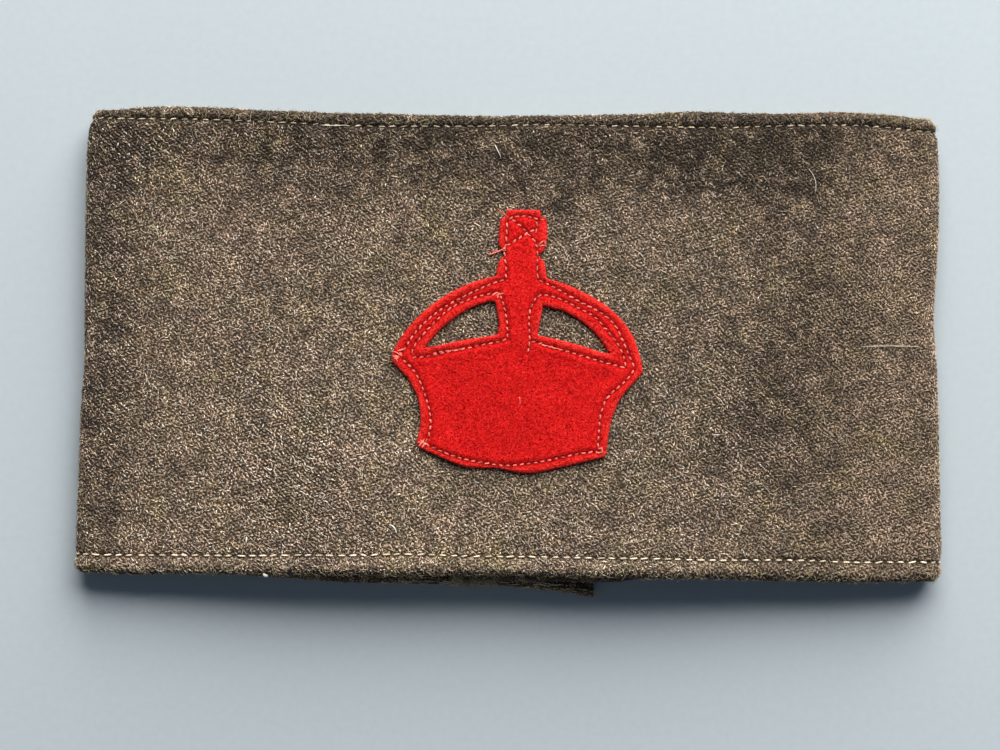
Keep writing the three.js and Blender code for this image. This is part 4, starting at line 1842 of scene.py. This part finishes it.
@dataclass
class FeltCrown:
    """The crown cut from felt and sewn down round its edges, windows, orb and cross."""

    loop: StripLoop
    thickness: float = 1.0
    gap: float = 0.12
    edge_step: float = 0.42
    grid_step: float = 0.56
    edge_round: float = 0.34
    inset: float = 0.26
    stitch_pitch: float = 1.5
    stitch_share: float = 0.86
    row_depth: float = 0.38
    row_width: float = 0.42
    bank: float = 0.10
    down_spacing: float = 0.62
    outline: Array = field(init=False)
    windows: tuple[Array, Array] = field(init=False)
    rows: list[Array] = field(init=False)
    pieces: list[Piece] = field(default_factory=list)

    def __post_init__(self) -> None:
        """Draws the cut edges and the sewing rows once."""
        self.outline = self._drawn(CROWN_OUTLINE)
        self.windows = (self._drawn(LEFT_WINDOW), self._drawn(RIGHT_WINDOW))
        self.rows = [rounded_run(row.points, 0.25) for row in CROWN_SEWING]

    def _drawn(self, stretches: Sequence[Stretch]) -> Array:
        """Draws a closed outline from its stretches.

        Args:
            stretches: The stretches in order.

        Returns:
            The points of the outline, evenly close.
        """
        runs = []
        for stretch in stretches:
            draw = rounded_run if stretch.cut is Cut.CURVED else straight_run
            runs.append(draw(stretch.points, self.edge_step))
        points = np.concatenate(runs)
        closed = straight_run([tuple(p) for p in (*points, points[0])], self.edge_step)[:-1]
        wobble = 0.07 * np.sin(np.arange(len(closed)) * 1.9) * np.sin(np.arange(len(closed)) / 5)
        return closed + wobble[:, None] * self._outward(closed)

    @staticmethod
    def _outward(loop: Array) -> Array:
        """Gives the direction out of a closed outline at each of its points."""
        after = np.roll(loop, -1, axis=0)
        along = after - np.roll(loop, 1, axis=0)
        area = np.sum(loop[:, 0] * after[:, 1] - after[:, 0] * loop[:, 1])
        side = np.stack([along[:, 1], -along[:, 0]], axis=1) * (1 if area > 0 else -1)
        return side / (np.linalg.norm(side, axis=1, keepdims=True) + 1e-9)

    def covers(self, points: Array, margin: float) -> Array:
        """Tells which places on the front the felt lies over.

        Args:
            points: Places on the front, x and y.
            margin: How far in from the cut edge the felt counts.

        Returns:
            A flag for each place.
        """
        near = np.all(np.abs(points) < 32, axis=1)
        found, tested = near.copy(), points[near]
        found[near] = inside(self.outline - margin * self._outward(self.outline), tested)
        for window in self.windows:
            found[near] &= ~inside(window + margin * self._outward(window), tested)
        return found

    def edge_distance(self, points: Array) -> Array:
        """Measures how far places on the front are from the nearest cut edge."""
        loops = [np.concatenate([loop, loop[:1]]) for loop in (self.outline, *self.windows)]
        return np.min([distance_to_run(loop, points) for loop in loops], axis=0)

    def sewing_distance(self, points: Array) -> Array:
        """Measures how far places on the front are from the nearest sewing row."""
        return np.min([distance_to_run(row[::3], points) for row in self.rows], axis=0)

    def height(self, points: Array) -> Array:
        """Gives the height of the felt's upper face over the cloth.

        Args:
            points: Places on the felt.

        Returns:
            The heights.
        """
        rim = np.clip(self.edge_distance(points) / self.edge_round, 0, 1)
        seam = self.sewing_distance(points)
        x, y = points[:, 0], points[:, 1]
        swell = 0.05 * np.sin(x / 1.7 + np.sin(y / 2.3)) * np.sin(y / 1.5 + np.sin(x / 2.9))
        rounded = self.edge_round * (1 - np.sqrt(np.maximum(1 - (1 - rim) ** 2, 0)))
        return (self.gap + self.thickness - rounded + swell
                - self.row_depth * np.exp(-(seam / self.row_width) ** 2)
                + self.bank * np.exp(-((seam - 1.1) / 0.6) ** 2))

    def upper(self, x: Array, y: Array, out: Array) -> Array:
        """Places points that stand off the felt's upper face, at x and y on the front."""
        height = self.height(np.stack([x, y], axis=1))
        return self.loop.place(self.loop.s_of_front(x), y, height + out)

    def build(self, groups: SharedGroups) -> Piece:
        """Builds the felt, its down, its stitches and its loose threads.

        Args:
            groups: The shared node groups.

        Returns:
            The felt piece.
        """
        felt = self._felt()
        red = FeltFinish(groups).build()
        felt.data.materials.append(red)
        thread = ThreadFinish(groups, name="crown_thread", tint=(1.0, 0.40, 0.32),
                              light=(0.980, 0.265, 0.205), shade=(0.720, 0.105, 0.080),
                              pitch=0.34, ends=(0.70, 0.20, 0.17)).build()
        for piece, material in ((self._down(), red), (self._stitches(), thread),
                                (self._loose_threads(), thread)):
            piece.data.materials.append(material)
            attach(piece, "root")
            self.pieces.append(report(piece))
        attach(felt, "root")
        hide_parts("crown_patch")
        return report(felt)

    def _felt(self) -> Piece:
        """Cuts the felt as a closed mesh with rounded edges, drawn down along its rows.

        Returns:
            The felt piece.
        """
        loops = (self.outline, *self.windows)
        edges, count = [], 0
        for loop in loops:
            order = np.arange(len(loop)) + count
            edges += list(zip(order.tolist(), np.roll(order, -1).tolist()))
            count += len(loop)
        inner = [loop + inset * self._outward(loop)
                 for loop, inset in zip(loops, (-self.inset, self.inset, self.inset))]
        step = self.grid_step
        grid = np.array([(x + 0.5 * step * (k % 2), y)
                         for k, y in enumerate(np.arange(-29.5, 30.0, step * 0.866))
                         for x in np.arange(-27.0, 30.0, step)])
        grid = grid[self.covers(grid, 0.0)]
        grid = grid[self.edge_distance(grid) > self.inset + 0.45 * step]
        flat = np.concatenate([*loops, *inner, grid])
        result = delaunay_2d_cdt([Vector(p) for p in flat.tolist()], edges, [], 0, 1e-6)
        places = np.array([tuple(p) for p in result[0]])
        triangles = np.array(result[2])
        kept = triangles[self.covers(places[triangles].mean(axis=1), 0.0)]
        corners = places[kept]
        ab, ac = corners[:, 1] - corners[:, 0], corners[:, 2] - corners[:, 0]
        turned = ab[:, 0] * ac[:, 1] - ab[:, 1] * ac[:, 0] < 0
        kept[turned] = kept[turned][:, ::-1]
        return self._closed_sheet(places, kept)

    def _closed_sheet(self, places: Array, top: Array) -> Piece:
        """Closes the upper face of the felt with a wall and a lower face.

        Args:
            places: Places of the flat points.
            top: Triangles of the upper face.

        Returns:
            The felt piece.
        """
        loop = self.loop
        used, numbers = np.unique(top, return_inverse=True)
        places, top = places[used], numbers.reshape(-1, 3)
        s, y, count = loop.s_of_front(places[:, 0]), places[:, 1], len(places)
        sides = np.concatenate([top[:, (0, 1)], top[:, (1, 2)], top[:, (2, 0)]])
        known = {tuple(side) for side in sides.tolist()}
        rim = np.array([side for side in sides.tolist() if (side[1], side[0]) not in known])
        edge = np.unique(rim)
        low_edge = loop.place(s[edge], y[edge], np.full(len(edge), self.gap + 0.22))
        ring = np.full(count, -1)
        ring[edge] = np.arange(len(edge)) + count
        under = count + len(edge)
        a, b = rim[:, 0], rim[:, 1]
        walls = [np.stack(part, axis=1) for part in (
            (b, a, ring[a]), (b, ring[a], ring[b]), (ring[b], ring[a], a + under),
            (ring[b], a + under, b + under))]
        faces = np.concatenate([top, *walls, top[:, ::-1] + under])
        points = np.concatenate([loop.place(s, y, self.height(places)), low_edge,
                                 loop.place(s, y, np.full(count, self.gap))])
        # painted shade along the sewn rows
        seam = np.exp(-(self.sewing_distance(places) / 0.34) ** 2)
        # near the cut edges: fluff with a painted rim highlight
        hem = 1 - smooth_step(self.edge_distance(places), 0.5, 1.6)
        spare = np.zeros(len(edge) + count)
        return make_piece("crown_cloth", points, faces,
                          {"drawn": np.concatenate([0.9 * seam, spare]),
                           "fluff_and_rim_highlight": np.concatenate([0.8 * hem * (1 - seam), spare])})

    def _down(self) -> Piece:
        """Lays the short matted fibres of the felt's face.

        Returns:
            The piece with the fibres.
        """
        rng = np.random.default_rng(51)
        x, y = scatter(rng, (-26.5, 29.5), (-29.0, 29.5), self.down_spacing)
        places = np.stack([x, y], axis=1)
        free = self.covers(places, 0.12) & (self.sewing_distance(places) > 0.28)
        x, y = x[free], y[free]
        count = len(x)
        strands = StrandRun(
            x, y, rng.uniform(-math.pi, math.pi, count),
            length=rng.uniform(0.6, 1.3, count), radius=rng.uniform(0.06, 0.11, count),
            bend=rng.normal(0, 1.2, count), start=np.full(count, -0.07),
            arch=rng.uniform(0.03, 0.09, count), end=rng.uniform(-0.07, 0.06, count),
            tone=rng.random(count), soil_and_shade=np.zeros(count))
        points, faces, values = strands.lay(LOCK_FORM, self.upper)
        tone, near = values["tone"], np.repeat(self.edge_distance(places[free]),
                                               len(points) // count)
        # random dark and pink fibres, and a painted highlight near the cut edges
        return make_piece("crown_down", points, faces,
                          {"drawn": 0.55 * (1 - tone) ** 3,
                           "fluff_and_rim_highlight": np.clip(tone ** 2 + 0.5 * (near < 1.4), 0, 1)})

    def _stitches(self) -> Piece:
        """Sews every row of the crown, and the knots where rows were fastened off.

        Returns:
            The piece with the stitches.
        """
        rng = np.random.default_rng(61)
        parts = []
        for row in self.rows:
            far = reached(row)
            holes = np.linspace(0, far[-1], max(int(round(far[-1] / self.stitch_pitch)), 1) + 1)
            hx, hy = np.interp(holes, far, row[:, 0]), np.interp(holes, far, row[:, 1])
            dx, dy = np.diff(hx), np.diff(hy)
            parts.append((hx[:-1] + dx / 2, hy[:-1] + dy / 2, np.arctan2(dy, dx),
                          np.hypot(dx, dy) * self.stitch_share))
        for kx, ky, amount in ((-24.3, -3.2, 7), (-3.0, 10.7, 3), (-18.8, -22.1, 5),
                               (19.5, -23.9, 3), (7.0, 21.2, 2)):
            parts.append((kx + rng.normal(0, 0.45, amount), ky + rng.normal(0, 0.45, amount),
                          rng.uniform(-math.pi, math.pi, amount), rng.uniform(1.1, 2.2, amount)))
        x, y, heading, length = (np.concatenate(part) for part in zip(*parts))
        count = len(x)
        stitches = StrandRun(
            x, y, heading + rng.normal(0.12, 0.13, count), length * rng.normal(1.0, 0.11, count),
            radius=rng.uniform(0.165, 0.215, count), bend=rng.normal(0, 0.15, count),
            start=np.full(count, -0.16), arch=rng.uniform(0.20, 0.30, count),
            end=np.full(count, -0.16),
            tone=np.clip(rng.normal(0.55, 0.32, count), 0.02, 1.0),
            soil_and_shade=np.clip(rng.normal(0.04, 0.12, count), 0, 0.5))
        return make_piece("crown_stitches", *stitches.lay(STITCH_FORM, self.upper))

    def _loose_threads(self) -> Piece:
        """Lets the cut ends of the thread stick out at the neck, the cross and the left tip.

        Returns:
            The piece with the thread ends.
        """
        steps = 9
        t = np.linspace(0, 1, steps)
        paths, radius, tone = [], [], []
        for end in THREAD_ENDS:
            x, y = end.curve(t)
            places = np.stack([x, y], axis=1)
            height = np.where(self.covers(places, 0.0), self.height(places) + end.radius, 0.35)
            height = np.convolve(np.pad(height, 1, mode="edge"), np.ones(3) / 3, mode="valid")
            paths.append(self.loop.place(self.loop.s_of_front(x), y,
                                         height + 0.15 * np.sin(math.pi * t)))
            radius.append(end.radius * np.linspace(1.0, 0.8, steps) * MM)
            tone.append(end.tone)
        points, faces = tubes(np.array(paths), np.array(radius), 6)
        ply = np.concatenate([np.repeat(np.arange(steps) * 0.3, 6), [0.0, 2.4]])
        return make_piece("thread_ends", points, faces,
                          {"tone": np.repeat(tone, len(ply)), "ply": np.tile(ply, len(tone)),
                           "soil_and_shade": np.zeros(len(points))})


# Floor, light and camera


class Light(NamedTuple):
    """One square light: where it hangs in metres, its side, power in watts and colour."""

    name: str
    place: tuple[float, float, float]
    size: float
    power: float
    colour: Colour


# A large soft light from the upper right and a weak one from beyond the lower edge
LIGHTS = table(
    Light,
    ("key_light", (0.22, 0.90, 0.61), 1.25, 47.5, (1.0, 0.975, 0.94)),
    ("fill_light", (-0.10, -1.10, 0.17), 0.6, 2.375, (1.0, 0.92, 0.84)),
)


@dataclass
class Studio:
    """A pale floor, the lights and the sky over it, and the camera."""

    floor_size: float = 6.0
    target: tuple[float, float, float] = (-2.27, -4.89, 7.0)
    distance: float = 480.0
    tilt: float = 3.14
    roll: float = 0.603
    lens: float = 78.06
    sky: Colour = (0.48, 0.74, 1.08)
    sky_strength: float = 0.12

    def build(self, groups: SharedGroups) -> None:
        """Builds the floor, the lights and the camera."""
        self._floor(FloorFinish(groups).build())
        for light in LIGHTS:
            self._hang(light)
        world = bpy.data.worlds.new("pale_sky")
        world.use_nodes = True
        sky = world.node_tree.nodes["Background"]
        sky.inputs["Color"].default_value = (*self.sky, 1.0)
        sky.inputs["Strength"].default_value = self.sky_strength
        bpy.context.scene.world = world
        bpy.context.scene.view_settings.view_transform = "Standard"
        self._camera()

    def _floor(self, card: Material) -> None:
        """Lays the floor as a thin card with a rounded edge."""
        bpy.ops.object.select_all(action="DESELECT")
        bpy.ops.mesh.primitive_plane_add(size=self.floor_size, location=(0, 0, 0))
        floor = bpy.context.object
        floor.name = floor.data.name = "floor"
        bpy.ops.object.mode_set(mode="EDIT")
        bpy.ops.mesh.select_all(action="SELECT")
        bpy.ops.mesh.extrude_region_move(TRANSFORM_OT_translate={"value": (0, 0, -0.02)})
        bpy.ops.mesh.select_all(action="SELECT")
        bpy.ops.mesh.normals_make_consistent(inside=False)
        bpy.ops.mesh.bevel(offset=0.004, segments=3)
        bpy.ops.object.mode_set(mode="OBJECT")
        floor.data.materials.append(card)
        log.info("floor laid")

    @staticmethod
    def _hang(light: Light) -> None:
        """Hangs a square soft light that faces the middle of the armband.

        Args:
            light: What it is like and where it hangs.
        """
        lamp = bpy.data.lights.new(light.name, "AREA")
        lamp.shape, lamp.size = "SQUARE", light.size
        lamp.energy, lamp.color = light.power, light.colour
        holder = bpy.data.objects.new(light.name, lamp)
        holder.location = light.place
        holder.rotation_euler = (-Vector(light.place)).to_track_quat("-Z", "Y").to_euler()
        bpy.context.scene.collection.objects.link(holder)

    def _camera(self) -> None:
        """Sets the camera almost straight above, turned and tilted a little."""
        turned = (Matrix.Rotation(math.radians(self.tilt), 4, "X")
                  @ Matrix.Rotation(math.radians(self.roll), 4, "Z"))
        middle = Vector(self.target) + turned @ Vector((0.0, 0.0, self.distance))
        lens = bpy.data.cameras.new("camera")
        lens.lens, lens.sensor_width = self.lens, 36.0
        lens.clip_start, lens.clip_end = 0.01, 20.0
        camera = bpy.data.objects.new("camera", lens)
        camera.matrix_world = Matrix.Translation(middle * MM) @ turned
        bpy.context.scene.collection.objects.link(camera)
        bpy.context.scene.camera = camera


def main() -> None:
    """Builds the armband and its surroundings."""
    logging.basicConfig(level=logging.INFO, format="%(message)s")
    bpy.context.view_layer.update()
    loop = StripLoop()
    crown = FeltCrown(loop)
    band = SergeBand(loop, crown)
    groups = SharedGroups()
    Studio().build(groups)
    band.build(groups)
    crown.build(groups)


if __name__ == "__main__":
    main()
